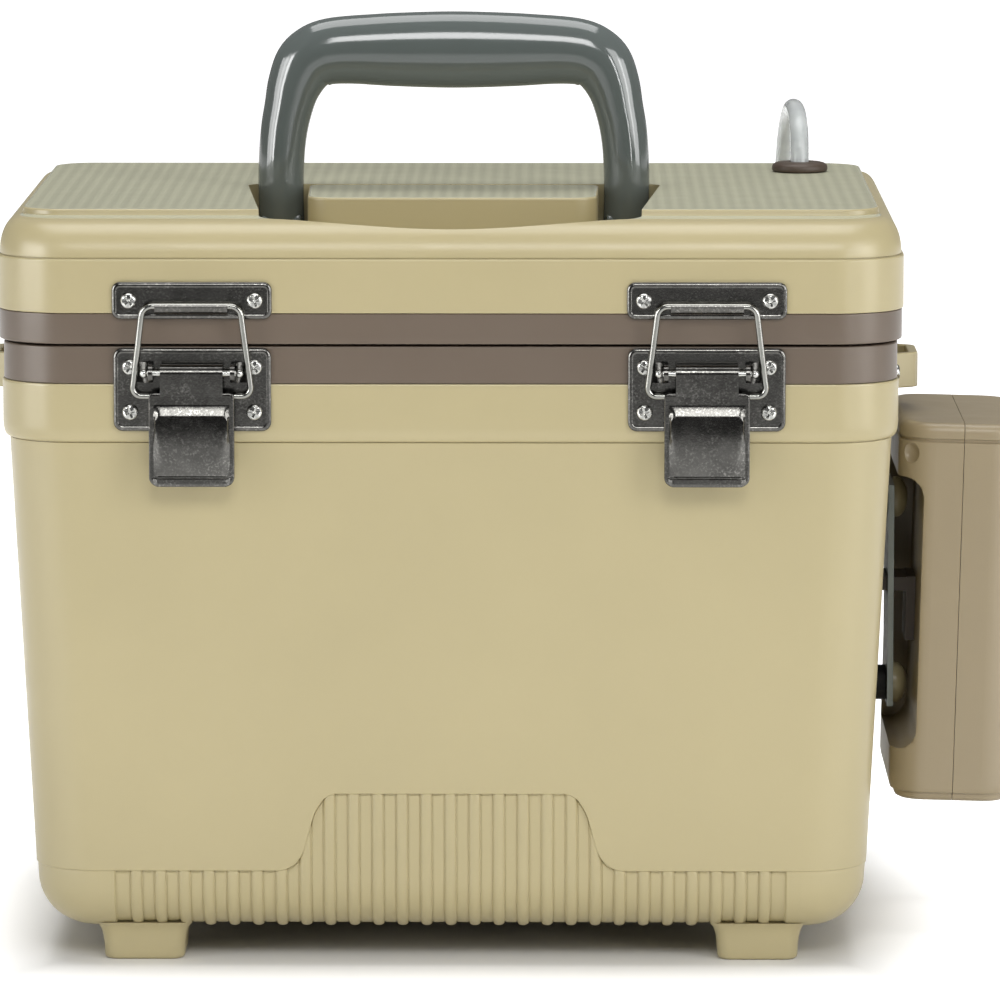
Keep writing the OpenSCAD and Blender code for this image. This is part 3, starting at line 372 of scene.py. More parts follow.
# The render shows hard-edged patches where one surface's roughness goes through 0.274, so each
# range of roughness below stays on one side of it
def moulded(name, display, rough, grain=0.000008, flow=0.03, specular=0.5, knurl=False):
    """Moulded plastic: slow colour drift, a fine grain and a soft, uneven gloss."""
    m, colour = Nodes(bpy.data.materials.new(name)), srgb(*display)
    drift = m.noise(9, detail=4)
    base = m.ramp(drift, [(0.3, tint(colour, 1 - flow)), (0.7, tint(colour, 1 + flow))])
    gloss = m.span(m.noise(60, detail=5), 0.3, 0.7, rough * 0.88, rough * 1.12)
    normal = m.bump(m.noise(2600, detail=2), grain)
    normal = m.bump(m.noise(35, detail=2), 0.00006, 0.4, under=normal)
    if knurl:
        columns = m.wave(m.axis("X"), KNURL_COLUMN)
        rows = m.wave(m.axis("Y"), KNURL_ROW)
        fine = m.wave(m.axis("X"), KNURL_COLUMN / 3)
        height = m.math("ADD", m.math("MULTIPLY", columns, 0.6),
                        m.math("MULTIPLY", m.math("ADD", rows, fine), 0.3))
        # Painted shade: the colour is darkened in stripes that follow the knurl's columns
        base = m.mix(m.span(columns, 0, 1, 0, 0.6), base, tint(colour, 0.76))
        normal = m.bump(height, 0.00022, 0.7, under=normal)
    return m.set(Base_Color=base, Roughness=gloss, Normal=normal, Specular_IOR_Level=specular)


def metal(name, display, rough, wear, brush=(1, 1, 1), pit=0.00002, speck=0.0):
    """Plated or bare steel with cloudy patches, fine scratches, pits and worn specks."""
    m, colour = Nodes(bpy.data.materials.new(name)), srgb(*display)
    cloud = m.noise(110, detail=6, rough=0.7, distortion=0.6)
    base = m.ramp(cloud, [(0.25, tint(colour, 1 - wear)), (0.75, tint(colour, 1 + wear))])
    fine = m.noise(420, detail=4, stretch=brush)
    if speck:
        worn = m.math("MULTIPLY", m.span(m.noise(1300, detail=3), 0.5, 0.68, 0, speck),
                      m.span(m.noise(90, detail=3), 0.42, 0.62, 0.25, 1))
        base = m.mix(worn, base, tint(colour, 4))
    gloss = m.span(m.math("ADD", m.math("MULTIPLY", cloud, 0.6), m.math("MULTIPLY", fine, 0.4)),
                   0.3, 0.7, rough * 0.7, rough * 1.35)
    normal = m.bump(m.noise(1500, detail=3, stretch=brush), pit)
    return m.set(Base_Color=base, Metallic=1.0, Roughness=gloss, Normal=normal)


tan = moulded("tan plastic", (179, 167, 128), 0.32)
# The ledge round the top panel: the panel's own grey moulding, made lighter as a painted reflection
# of the bright room
ledge = moulded("lid edge with painted reflection", (186, 186, 164), 0.24)
panel = moulded("knurled panel", (172, 171, 147), 0.5, knurl=True)
brown = moulded("brown plastic", (104, 91, 78), 0.36)
slate = moulded("slate plastic", (90, 97, 95), 0.11, grain=0.000004, specular=0.85)
pump_tan = moulded("pump plastic", (151, 137, 110), 0.34, grain=0.000014)
clip_dark = moulded("dark clip plastic", (62, 52, 42), 0.45)
foam = moulded("insulation foam", (236, 226, 190), 0.9, grain=0.0003, flow=0.08)
rubber = moulded("black rubber", (26, 26, 26), 0.6, grain=0.00002, flow=0.1)
grommet = moulded("grommet rubber", (72, 58, 46), 0.5, grain=0.000015)
nickel = metal("dark nickel", (92, 91, 88), 0.18, wear=0.3, pit=0.000015, speck=0.45)
screw_steel = metal("screw steel", (190, 190, 186), 0.2, wear=0.15)
steel = metal("stainless steel", (146, 146, 141), 0.15, wear=0.15)
strip = metal("rolled steel strip", (122, 126, 120), 0.4, wear=0.1, brush=(1, 1, 0.05))
wrap = moulded("cell wrap", (60, 120, 80), 0.35)
board = moulded("circuit board", (30, 96, 56), 0.45, flow=0.1)
stone = moulded("air stone", (140, 152, 162), 0.95, grain=0.0004, flow=0.2)


def clear(name):
    """Clear, slightly cloudy tube."""
    m = Nodes(bpy.data.materials.new(name))
    cloud = m.noise(120, detail=3)
    return m.set(Base_Color=m.ramp(cloud, [(0.3, srgb(222, 226, 226)), (0.7, srgb(238, 241, 240))]),
                 Roughness=m.span(cloud, 0.3, 0.7, 0.14, 0.24), Transmission_Weight=0.55, IOR=1.42,
                 Normal=m.bump(m.noise(500), 0.00002))


hose_clear = clear("clear tube")

# ---- Air hose --------------------------------------------------------------------------------
# The same points as in the CAD
HOSE_R, BORE_R = 3.2, 1.9
REARMOST = 121.6  # keeps the hose inside the CAD's box
OUTER_POINTS = [
    (120, 55, 230), (120, 55, 244), (120, 55, 256), (119.9, 58, 265.5), (119.5, 66.5, 271),
    (118.9, 79, 273), (118.2, 92, 271.5), (117.4, 104, 266), (116.7, 113, 256.5),
    (116.3, 118, 244), (116.6, 120.4, 229), (118, 121.5, 212), (122, 121.5, 196),
    (129, 119, 183), (139, 113.5, 173), (150, 105, 166.5), (160.5, 93, 163),
    (168, 79, 161.9), (172, 67, 161.8), (172.6, 57, 161.8), (172.6, 49.3, 161.8)]
INNER_POINTS = [
    (120, 55, 229.7), (120, 55, 215), (119.8, 55, 200), (118.8, 54, 182), (116.5, 51, 160),
    (113.5, 47, 136), (111, 42, 112), (109.5, 37, 88), (108.5, 32.5, 66), (105.5, 28.5, 49),
    (98.5, 25, 37.5), (88, 22.5, 33.6), (76, 22, 33.4)]


def hose(name, points, node):
    """Hose through the points."""
    path = smooth_path([Vector(p) for p in points], 8)
    for p in path:
        p.y = min(p.y, REARMOST)
    rows = circles(path, HOSE_R, 24) + circles(path, BORE_R, 24)[::-1]
    obj = build(name, [skin(rows + [rows[0]])], material=hose_clear, sharp=50)
    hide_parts(node)
    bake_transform(obj)
    return obj, [p * MM for p in path]


outer_hose, outer_path = hose("air_hose_outside", OUTER_POINTS, "air_hose")
inner_hose, inner_path = hose("air_hose_inside", INNER_POINTS, "air_hose_inner")

# ---- Tub -------------------------------------------------------------------------------------
DRAFT = math.tan(math.radians(2.84))
WALL, WALL_R = 146.4, 22  # half width under the flange, and radius of the upright edges
FLANGE_Z, WALL_HIGH = 177.4, 148.6  # the wall's top, and its height above the rounded lower edge
EDGE_R, EDGE_Z = 18, 10.8  # the lower edge's radius, and the underside
SHELL = 2.2
RIB_X = [(i - 13) * 8.05 for i in range(27)]
RIB = 1.9  # half width of a rib
FIELD_HALF = 111.65
FIELD_LOW, FIELD_RISE = 32.4, 26.2  # lower height of the field's edge, and the rise to its middle
LINE_DEPTH = 0.4  # of the fine line round the tub outside the field


def field_columns():
    """Places along the front wall that suit the ribs."""
    out = [-116.5, -113.5, -112.0, -111.65, -111.4]
    for i, x in enumerate(RIB_X):
        out += [x + u * RIB for u in (-1.3, -1.12, -1, -0.93, -0.75, -0.42, 0, 0.42, 0.75, 0.93, 1,
                                      1.12, 1.3)]
        if i < len(RIB_X) - 1:
            out += [x + 3.2, x + 4.85]
    out += [111.4, 111.65, 112.0, 113.5, 116.5]
    for k in range(34):
        for side in (-1, 1):
            x = side * (37.8 + 0.6 * k)
            if min(abs(x - other) for other in out) > 0.15:
                out.append(x)
    return sorted(out)


# (distance from the middle, share of the rise)
BEND = [(38, 1), (40, .985), (42, .935), (43.6, .86), (44.8, .78), (45.6, .70), (48.6, .29),
        (49.4, .21), (50.6, .135), (52.4, .065), (54.8, .018), (57.4, 0)]


def field_edge(x):
    """Height of the line that the ribs run up to, which steps down in a bend on each side."""
    at, share = abs(x), 1.0
    for (x0, s0), (x1, s1) in zip(BEND, BEND[1:]):
        if at > x0:
            share = s0 + (s1 - s0) * min(1, (at - x0) / (x1 - x0))
    return FIELD_LOW + FIELD_RISE * share


def field_depth(x):
    """How far the wall lies behind its own plane under that line: ribs, grooves, then a ledge."""
    if abs(x) >= 112:
        return LINE_DEPTH
    if abs(x) >= FIELD_HALF:
        return 0.85
    u = min(abs(x - rib) for rib in RIB_X) / RIB
    if u > 1:
        return 1.3 + 0.3 * max(0, 1 - abs(u - 1.08) / 0.2)
    return 1.42 - 1.17 * math.sqrt(max(0, 1 - u * u))


FRONTS = field_columns()
WALL_PLAN = [(x, y) for x, y, z in level(WALL, WALL_R, 0, fronts=FRONTS)]
IN_FRONT = [abs(y + WALL - NARROWER) < 1e-6 and abs(x) < 116.6 for x, y in WALL_PLAN]
EDGES = [field_edge(x) if front else FIELD_LOW for (x, y), front in zip(WALL_PLAN, IN_FRONT)]
DEPTHS = [field_depth(x) if front else LINE_DEPTH for (x, y), front in zip(WALL_PLAN, IN_FRONT)]


def wall_row(heights, insets):
    """One row round the tub's drafted wall, with its own height and inset at each point."""
    out = []
    for i, (z, d) in enumerate(zip(heights, insets)):
        half = WALL - d - (FLANGE_Z - z) * DRAFT
        out.append(level(half, WALL_R - d, z, fronts=FRONTS)[i])
    return out


def base_row(a, insets):
    """One row round the tub's lower edge, at an angle of its radius."""
    cache, out = {}, []
    for i, d in enumerate(insets):
        if d not in cache:
            inwards = (EDGE_R - d) * (1 - sin(a))
            cache[d] = level(WALL - d - WALL_HIGH * DRAFT - inwards, max(WALL_R - d - inwards, 1),
                             EDGE_Z + d + (EDGE_R - d) * (1 - cos(a)), fronts=FRONTS)
        out.append(cache[d][i])
    return out


def tub_rows():
    """The tub from its underside up the outside, over the flange and down the inside."""
    n = len(WALL_PLAN)
    rows = [level(WALL - WALL_HIGH * DRAFT - 23, 1, 11.2, fronts=FRONTS)]
    rows += [base_row(a, DEPTHS) for a in range(0, 91, 9)]
    for share in (0.35, 0.7):
        rows.append(wall_row([28.8 + (e - 29.6) * share for e in EDGES], DEPTHS))
    for above, part in ((-0.9, 1), (-0.5, 1.2), (-0.12, 1.15), (0, 0.6), (0.08, 0.25), (0.25, 0.05),
                        (0.5, 0)):
        rows.append(wall_row([e + above for e in EDGES], [d * part for d in DEPTHS]))
    for share in (0.08, 0.3, 0.6, 0.9, 0.995):
        rows.append(wall_row([e + 0.5 + (176.8 - e - 0.5) * share for e in EDGES], [0] * n))
    for half, r, z in [(146.35, 22, 176.85), (145.95, 21.6, 176.95), (145.95, 21.6, 177.2),
                       (146.75, 22.3, 177.25), (147.25, 22.6, 177.45), (147.6, 22.4, 177.9),
                       (147.95, 22.1, 178.7), (148.25, 22.3, 179.8), (148.42, 22.4, 181),
                       (148.5, 22.5, 182.4), (148.5, 22.5, 195.6), (148.45, 22.45, 196.1),
                       (148.3, 22.3, 196.45), (148, 22, 196.6), (145, 20, 196.6),
                       (144.2, 19.8, 196.2), (144.2, 19.8, 177.4)]:
        rows.append(level(half, r, z, fronts=FRONTS))
    rows.append(wall_row([60] * n, [SHELL] * n))
    rows += [base_row(a, [SHELL] * n) for a in (90, 60, 30, 0)]
    return rows


def foot(x, y):
    rows = []
    for half, z in [(12.1, 0), (12.7, 0.15), (13.15, 0.6), (13.4, 1.3), (13.5, 3), (13.65, 5.5),
                    (13.95, 7.8), (14.35, 9.6), (14.9, 11), (15.6, 12), (16.4, 13)]:
        rows.append([(px + x, py + y, pz) for px, py, pz in ring(half, half, 4, z, steps=8)])
    return solid(rows)


HINGE_X, HINGE_Z = 82, 209.5


def hinge_pad(x):
    return solid([[(px + x, y, pz + 190) for px, pz in rect(hw, hh, 1.5)]
                  for y, hw, hh in [(106.4, 22, 6.6), (108.7, 22, 6.6), (108.9, 21.9, 6.5),
                                    (109, 21.6, 6.2)]])


build("tub_outer_shell", [solid(tub_rows())]
      + [foot(x, y) for x in (-102.7, 102.7) for y in (-72.25, 72.25)]
      + [hinge_pad(-HINGE_X), hinge_pad(HINGE_X)],
      "tub_shell", material=tan, sharp=40)


def basin(half, z_top, z_low, r_low, r_plan, draft, angles=(0, 15, 30, 45, 60, 75, 90)):
    """Rows of drafted walls above a floor with a rounded edge, from the floor up."""
    start = half - (z_top - z_low - r_low) * math.tan(math.radians(draft))
    rows = [level(start - r_low * (1 - sin(a)), r_plan - r_low * (1 - sin(a)),
                  z_low + r_low * (1 - cos(a))) for a in angles]
    return rows + [level(half, r_plan, z_top)]


def level_rows(*rows):
    return [level(*row) for row in rows]


build("tub_inner_liner", [solid(
    basin(128.2, 206.9, 23.8, 16.2, 20.2, 2.5)
    + level_rows((145.8, 19.8, 206.9), (145.8, 19.8, 196.7), (147.7, 21.7, 196.7),
                 (147.95, 21.95, 196.85), (148, 22, 197.1), (148, 22, 208.4),
                 (147.9, 21.9, 208.8), (147.6, 21.6, 209.05), (147, 21, 209.1),
                 (127, 19, 209.1), (126.3, 18.3, 208.9), (126, 18, 208.3))
    + basin(126, 208.3, 26, 14, 18, 2.5)[::-1])],
    "tub_liner", material=brown, sharp=40)

# ---- Lid -------------------------------------------------------------------------------------
LID_HALF_X, LID_HALF_Y = 150, 109
PANEL_Z, LEDGE_Z = 0.2527, 0.2502  # metres, just under the panel's top and the ledge round it


def lid_level(inset_x, inset_y, r, z):
    return ring(LID_HALF_X - inset_x, LID_HALF_Y - inset_y, r, z)


def shoulder(inset, steps=14):
    """Rounded shoulder of the lid, narrow at the lid's ends and wide in front and behind."""
    out = []
    for k in range(steps + 1):
        a = 90 * k / steps
        drop = 1 - cos(a)
        out.append(lid_level(0.8 + inset + 6.4 * drop, 0.8 + inset + 11.8 * drop,
                             23.2 - inset - 8 * drop, 238.4 + (11.8 - inset) * sin(a)))
    return out


def pocket(grow, z):
    """The stow pocket's outline, bowed along its front edge."""
    rear, front = 70.7 + grow, 62.8 + grow
    bow = [(k / 14 * front, -104 - grow + 7.8 * (k / 14) ** 2) for k in range(-10, 11)]
    outline = rounded([(rear, 3.8 + grow), (-rear, 3.8 + grow), (-front, -96.2 - grow)] + bow
                      + [(front, -96.2 - grow)],
                      [5 + grow, 5 + grow, 8 + grow] + [0] * 21 + [8 + grow])
    return [(x, y, z) for x, y in outline]


def block(shrink, z):
    """The block between the handle's legs."""
    rear, front = 49.6 - shrink, 48.6 - shrink
    outline = rounded([(rear, 2 - shrink), (-rear, 2 - shrink),
                       (-front, -47.9 + shrink), (front, -47.9 + shrink)],
                      [4 - shrink / 2, 4 - shrink / 2, 8 - shrink, 8 - shrink])
    return [(x, y, z) for x, y in outline]


LID_R = 24
outside = [lid_level(inset, inset, LID_R - inset, z) for inset, z in (
    (2.5, 220.1), (0.5, 220.1), (0.15, 220.25), (0, 220.7), (0, 237.2), (0.08, 237.6),
    (0.3, 237.85), (0.7, 237.95), (1.15, 238), (1.15, 238.2), (0.85, 238.3))]
outside += shoulder(0) + [lid_level(*row) for row in (
    (7.3, 13.4, 15, 250.28), (7.5, 15, 14.2, 250.4), (7.8, 17.6, 13.4, 250.6),
    (7.95, 18.2, 13.2, 250.72), (8.05, 18.45, 13.1, 251.1), (8.1, 18.55, 13, 252),
    (8.25, 18.7, 12.9, 252.4), (8.55, 19, 12.7, 252.7), (9.1, 19.6, 12.3, 252.8))]
inside = [lid_level(2.7, 2.7, 21.8, 219), lid_level(2.7, 2.7, 21.8, 237)]
inside += shoulder(SHELL, 5)[1:] + [
    lid_level(10.4, 20.8, 11, 248.1), lid_level(10.4, 20.8, 11, 250.3)]

lid = build("lid_outer_shell", [solid(outside)], "lid_shell", material=tan)
cavity = build("cavity", [solid(inside)])
cut_away(cavity, [solid([pocket(SHELL, 226.6), pocket(SHELL, 262)])])
cut_away(lid, tool=cavity)
well = build("well", [solid([pocket(-2.4, 229), pocket(-1.3, 229.2), pocket(-0.4, 230),
                             pocket(0, 231.5), pocket(0, 262)])])
cut_away(well, [solid([block(-1.2, 228), block(-1.2, 229), block(-0.4, 229.3), block(0, 230.2),
                       block(0, 251.9), block(0.15, 252.4), block(0.5, 252.7),
                       block(1, 252.8)])])
cut_away(lid, tool=well)
cut_away(lid, [solid([block(SHELL, 219), block(SHELL, 250.3)])])

RIM_LINE = [Vector(p[:2]) for p in pocket(0, 0)]


def off_rim(p):
    """Distance of a point from the pocket's outline."""
    best = 1e9
    for a, b in zip(RIM_LINE, RIM_LINE[1:] + RIM_LINE[:1]):
        t = max(0, min(1, (p.xy - a).dot(b - a) / (b - a).length_squared))
        best = min(best, (p.xy - a - t * (b - a)).length)
    return best


soften(lid, 0.5, lambda a, b: min(a.z, b.z) > 240 and abs(a.z - b.z) < 0.7 * (a - b).length
       and off_rim(a) < 0.03 and off_rim(b) < 0.03)
lid.data.materials.append(panel)
lid.data.materials.append(ledge)
# Top faces take the knurled panel; the ledge's flat faces take the lighter grey of the painted
# reflection
for face in lid.data.polygons:
    if face.center.z > PANEL_Z and face.normal.z > 0.99:
        face.material_index = 1
    elif face.center.z > LEDGE_Z and face.normal.z > 0.95:
        face.material_index = 2

build("lid_inner_liner", [solid(level_rows(
    (121.8, 13.8, 204.1), (122.2, 14.2, 213.4), (146.9, 21.4, 213.4), (147.3, 21.8, 220),
    (149.2, 23.2, 220), (149.45, 23.45, 219.8), (149.5, 23.5, 219.4), (149.5, 23.5, 210.5),
    (149.4, 23.4, 210.1), (149.1, 23.1, 209.9), (134.7, 26.7, 209.9), (134.7, 26.7, 211.9),
    (129.3, 21.3, 211.9), (129.3, 21.3, 209.9), (125.6, 17.6, 209.9), (125.1, 17.1, 209.5),
    (124.7, 16.7, 202.9), (124.4, 16.4, 202.2), (123.7, 15.7, 201.9)))],
    "lid_liner", material=brown, sharp=40)

build("grommet_ring", [skin(turned(
    [(3.5, 246.8), (5.9, 246.8), (5.9, 252.9), (8.9, 252.9), (9.4, 253.1), (9.7, 253.6),
     (9.7, 254.6), (9.4, 255.3), (8.6, 255.9), (7.4, 256.2), (6, 256.35), (4.6, 256.4),
     (3.9, 256.2), (3.5, 255.7), (3.5, 246.8)], (120, 55, 0)))],
    "hose_grommet", material=grommet, sharp=45)

# ---- Handle ----------------------------------------------------------------------------------
PIVOT_Y, PIVOT_Z = -5, 238
LEG_X, HANDLE_HIGH = 58.7, 61.5
# (share of the leg's place, share of the height, how much thicker the grip is)
SHAPE = [(1, 0, 0), (1.005, .195, 0), (1.002, .389, .01), (.986, .551, .05), (.959, .681, .11),
         (.927, .797, .27), (.872, .904, .50), (.806, .959, .61), (.715, .990, .67),
         (.554, 1, .76), (.324, 1, .91), (0, 1, 1)]


def handle():
    stations = [(-a, b, c) for a, b, c in SHAPE] + SHAPE[-2::-1]
    smooth = smooth_path([Vector(s) for s in stations], 5)
    path = [Vector((s.x * LEG_X, PIVOT_Y, PIVOT_Z + min(s.y, 1) * HANDLE_HIGH)) for s in smooth]
    rows = []
    for p, s, (t, u, w) in zip(path, smooth, frames_along(path, (0, 1, 0))):
        wide = 7.8 + max(0, s.z) * 5.25
        thick = 7.5 + min(1, max(0, s.y) / 0.4)
        rows.append([tuple(p + wide * cos(360 * k / 48) * w + thick * sin(360 * k / 48) * u)
                     for k in range(48)])
    return [solid(rows)] + [
        bar("x", x - 7, x + 7, (0, PIVOT_Y, PIVOT_Z), 7.6, edge=2, sides=48)
        for x in (-LEG_X, LEG_X)]


build("carry_handle", handle(), "handle", material=slate, sharp=40)

# ---- Screws and rivets -----------------------------------------------------------------------
CROSS_ANGLES = [q + a for q in (0, 90, 180, 270)
                for a in (0, 5, 12.9, 22, 33, 45, 57, 68, 77.1, 85)]


def cross_radius(a):
    """Outline of a cross recess: arms 1.75 long and 0.8 wide."""
    c, s = max(abs(cos(a)), 1e-6), max(abs(sin(a)), 1e-6)
    return max(min(1.75 / c, 0.4 / s), min(0.4 / c, 1.75 / s))


def screw_head(x, y, z, axis="y", out=-1, r=2.65, h=1.5, turn=0.0, cross=True):
    """Domed head standing out from a face at (x, y, z), with a cross recess."""
    def at(radius, a, up):
        u, w = radius * cos(a + turn), radius * sin(a + turn)
        return (x + u, y + out * up, z + w) if axis == "y" else (x + out * up, y + u, z + w)

    rows = [[at(rr, a, up) for a in CROSS_ANGLES]
            for rr, up in [(r - 0.2, 0), (r, 0.12 * h), (r, 0.33 * h), (0.97 * r, 0.5 * h),
                           (0.9 * r, 0.72 * h), (0.78 * r, 0.9 * h)]]
    if not cross:
        rows += [[at(rr, a, up) for a in CROSS_ANGLES] for rr, up in [(0.5 * r, h), (0.1 * r, h)]]
        return solid(rows)
    rows.append([at(min(cross_radius(a) + 0.12, 0.74 * r), a, 0.96 * h) for a in CROSS_ANGLES])
    rows += [[at(cross_radius(a) * share, a, up * h) for a in CROSS_ANGLES]
             for share, up in ((0.96, 0.9), (0.8, 0.42))]
    return solid(rows + [[at(0.12, a, 0.3 * h) for a in CROSS_ANGLES]])


# ---- Latches ---------------------------------------------------------------------------------
LATCH_X = 84.5
BASE_FRONT, KEEPER_FRONT = -108.8, -110.3
PIN_Y, PIN_Z, SKIN_Y = -112.8, 200.7, -115.8
FOOT = Vector((19.65, -111.7, 193.1))  # the bail's lower corner
HEAD = Vector((16, -113.7, 222.9))  # its upper corner, in the keeper's hook
SHEET = 1.2
LATCH_Z, KEEPER_Z = 194.9, 224.4


def plate(cx, cz, hx, hz, r, back, profile):
    """Stamped plate whose rim slopes to its front: (inset, how far behind the front)."""
    front = back - SHEET
    rows = [[(px, back, pz) for px, pz in rect(hx - 0.2, hz - 0.2, r - 0.2, cx, cz)],
            [(px, back - 0.1, pz) for px, pz in rect(hx, hz, r, cx, cz)]]
    for inset, behind in profile:
        rows.append([(px, front + behind, pz)
                     for px, pz in rect(hx - inset, hz - inset, max(r - inset, 0.5), cx, cz)])
    return solid(rows)


RIM = [(0, 0.62), (0.1, 0.42), (0.35, 0.2), (0.75, 0.06), (1.15, 0), (1.3, 0.02), (1.5, 0.14),
       (1.8, 0.16)]


def latch_base(cx):
    parts = [plate(cx, LATCH_Z, 25.9, 13.75, 3, BASE_FRONT + SHEET, RIM)]
    for s in (-1, 1):
        inner, outer = cx + s * 12.7, cx + s * 14.2
        low, high = min(inner, outer), max(inner, outer)
        tab = [(BASE_FRONT + 0.2, PIN_Z + 3)] + [
            (PIN_Y + 3 * cos(a), PIN_Z + 3 * sin(a)) for a in range(90, 271, 15)] + [
            (BASE_FRONT + 0.2, PIN_Z - 3)]
        parts.append(prism(tab, low, high, "x"))
        # The root flares into the plate on its outer side
        flare = [(outer - s * 0.2, BASE_FRONT + 0.2), (outer + s * 4.2, BASE_FRONT + 0.2)] + [
            (outer + s * (4.2 - 4.2 * sin(a)), BASE_FRONT - 3.4 * (1 - cos(a)))
            for a in range(0, 91, 10)] + [(outer - s * 0.2, BASE_FRONT - 3.4)]
        parts.append(prism(flare, PIN_Z - 3.4, PIN_Z + 3.4, "z"))
    return parts


def latch_lever(cx):
    """The lever: its skin with folded sides, and the neck that rolls round the pin."""
    tip, top = PIN_Z - 37, PIN_Z - 6.2
    rows = []

    def smooth(t):
        t = max(0, min(1, t))
        return t * t * (3 - 2 * t)

    def half_at(z):
        if z < tip + 3:
            return 14 - 3 + math.sqrt(max(0, 9 - (tip + 3 - z) ** 2))
        if z > top - 1.5:
            return 14 - 1.5 + math.sqrt(max(0, 2.25 - (z - top + 1.5) ** 2))
        return 14.0

    def proud(x, z):
        """How far the skin stands out: the crowned thumb pad with its bevels, then the lip."""
        side = 12.5 - abs(x)
        wide = 0.7 + 2.3 * smooth((183 - z) / 14) + 2.6 * smooth((z - 185.5) / 4)
        pad = min(side / wide, (190.5 - z) / 3.4, (z - 166.9) / 0.35)
        pad = max(0, min(1, pad))
        crown = 1.5 - (z - 178.6) ** 2 / 190
        lip = max(0, min(1, (166.5 - z) / 0.3, (12.6 - abs(x)) / 1.2)) * 1.1
        return max(pad * crown, lip)

    levels = [tip + 0.02, tip + 0.12, tip + 0.35, tip + 0.7, tip + 1.2, 165.2, 165.7, 166.2, 166.5,
              166.8, 166.9, 167.05, 167.25, 167.6]
    levels += [168 + 0.8 * k for k in range(23)] + [186, 186.5, 187.1, 187.6, 188.2, 188.8, 189.4,
                                                    190, 190.5, 190.8, 192, 193, top - 0.9,
                                                    top - 0.4, top - 0.15, top - 0.02]
    shares = [-1, -0.985, -0.965, -0.94, -0.915, -0.893, -0.87, -0.84, -0.81, -0.77, -0.72, -0.66,
              -0.58, -0.45, -0.3, -0.15]
    shares += [0] + [-s for s in shares[::-1]]
    for z in levels:
        half = half_at(z)
        round_end = 0.35 * (max(0, 1 - (z - tip) / 0.7) ** 2 + max(0, 1 - (top - z) / 0.4) ** 2)
        front = []
        for s in shares:
            x = s * half
            edge = max(0, 1 - (half - abs(x)) / 0.45)
            front.append((cx + x, SKIN_Y - proud(x, z) + 0.35 * edge ** 2 + round_end, z))
        back = SKIN_Y + SHEET
        deep = back
        if z > 165.7:
            deep = -112.8 + 3 * min(1, (z - 165.7) / (190.1 - 165.7))
        inner = max(half - SHEET, 1)
        rows.append([(cx - half, deep, z)] + front
                    + [(cx + half, deep, z), (cx + inner, deep, z), (cx + inner, back, z),
                       (cx - inner, back, z), (cx - inner, deep, z)])
    parts = [solid(rows)]
    # The neck and its roll round the pin
    roll = [(SKIN_Y, top - 1.2)] + [(PIN_Y - 3.1 * cos(a), PIN_Z + 3.1 * sin(a))
                                    for a in range(0, 271, 15)]
    roll += [(PIN_Y - 1.62 * cos(a), PIN_Z + 1.62 * sin(a)) for a in range(270, -1, -15)]
    roll.append((SKIN_Y + 1.3, top - 1.2))
    parts.append(prism(roll, cx - 10.25, cx + 10.25, "x"))
    return parts


def latch_keeper(cx):
    parts = [plate(cx, KEEPER_Z, 26.25, 6.1, 2.7, KEEPER_FRONT + SHEET, RIM)]
    low = HEAD.z - 2.55
    hook = [(KEEPER_FRONT + 0.2, low), (HEAD.y, low)] + [
        (HEAD.y - 2.55 * sin(a), HEAD.z - 2.55 * cos(a)) for a in range(15, 96, 10)] + [
        (HEAD.y - 1.9, HEAD.z + 0.75), (HEAD.y - 1.4, HEAD.z + 0.4)] + [
        (HEAD.y - 1.35 * sin(a), HEAD.z - 1.35 * cos(a)) for a in range(85, -1, -10)] + [
        (KEEPER_FRONT + 0.2, low + SHEET)]
    parts.append(prism(hook, cx - 11.9, cx + 11.9, "x"))
    return parts


def bail_path(cx):
    """The bail's wire from one inturned end to the other."""
    r, steps = 3.2, 8
    rise = (HEAD - FOOT).normalized()
    inward = Vector((1, 0, 0))
    half = [Vector((12.3, FOOT.y, FOOT.z)), Vector((14.4, FOOT.y, FOOT.z)), FOOT - r * inward]
    turn = [90 * k / steps for k in range(steps + 1)]
    half += [FOOT - r * inward * (1 - sin(a)) + rise * r * (1 - cos(a)) for a in turn[1:]]
    half += [HEAD - rise * r * (1 - sin(a)) - r * inward * (1 - cos(a)) for a in turn]
    half += [Vector((x, HEAD.y, HEAD.z)) for x in (8, 3)]
    whole = half + [Vector((-p.x, p.y, p.z)) for p in half[::-1]]
    return [p + Vector((cx, 0, 0)) for p in whole]


for side, cx in (("left", -LATCH_X), ("right", LATCH_X)):
    wire = [solid(circles(bail_path(cx), 1.05, 16, (0, 1, 0)))]
    pin = [bar("x", cx - 16.4, cx + 16.4, (0, PIN_Y, PIN_Z), 1, edge=0.2)] + [
        ball((cx + end, PIN_Y, PIN_Z), 1.5) for end in (-15.6, 15.6)]
    for name, part, parts, slot, material, sharp in (
            ("base_plate", "base", latch_base(cx), "dark_nickel", nickel, 35),
            ("lever_plate", "lever", latch_lever(cx), "dark_nickel", nickel, 30),
            ("keeper_plate", "keeper", latch_keeper(cx), "dark_nickel", nickel, 35),
            ("bail_wire", "bail", wire, "stainless", steel, 50),
            ("pin_rod", "pin", pin, "dark_nickel", screw_steel, 40)):
        build(f"latch_{name}_{side}", parts, f"latch_{part}_{side}", material, sharp)

build("base_screw_heads",
      [screw_head(s * LATCH_X + dx, BASE_FRONT, LATCH_Z + dz, turn=t) for s in (-1, 1)
       for dx, dz, t in ((-20.4, -7.45, 20), (-20.4, 7.45, 55),
                         (20.4, -7.45, 70), (20.4, 7.45, 35))],
      "latch_base_screws", material=screw_steel, sharp=35)
build("keeper_screw_heads",
      [screw_head(s * LATCH_X + dx, KEEPER_FRONT, KEEPER_Z, turn=t)
       for s in (-1, 1) for dx, t in ((-20.7, 40), (20.7, 15))],
      "keeper_screws", material=screw_steel, sharp=35)

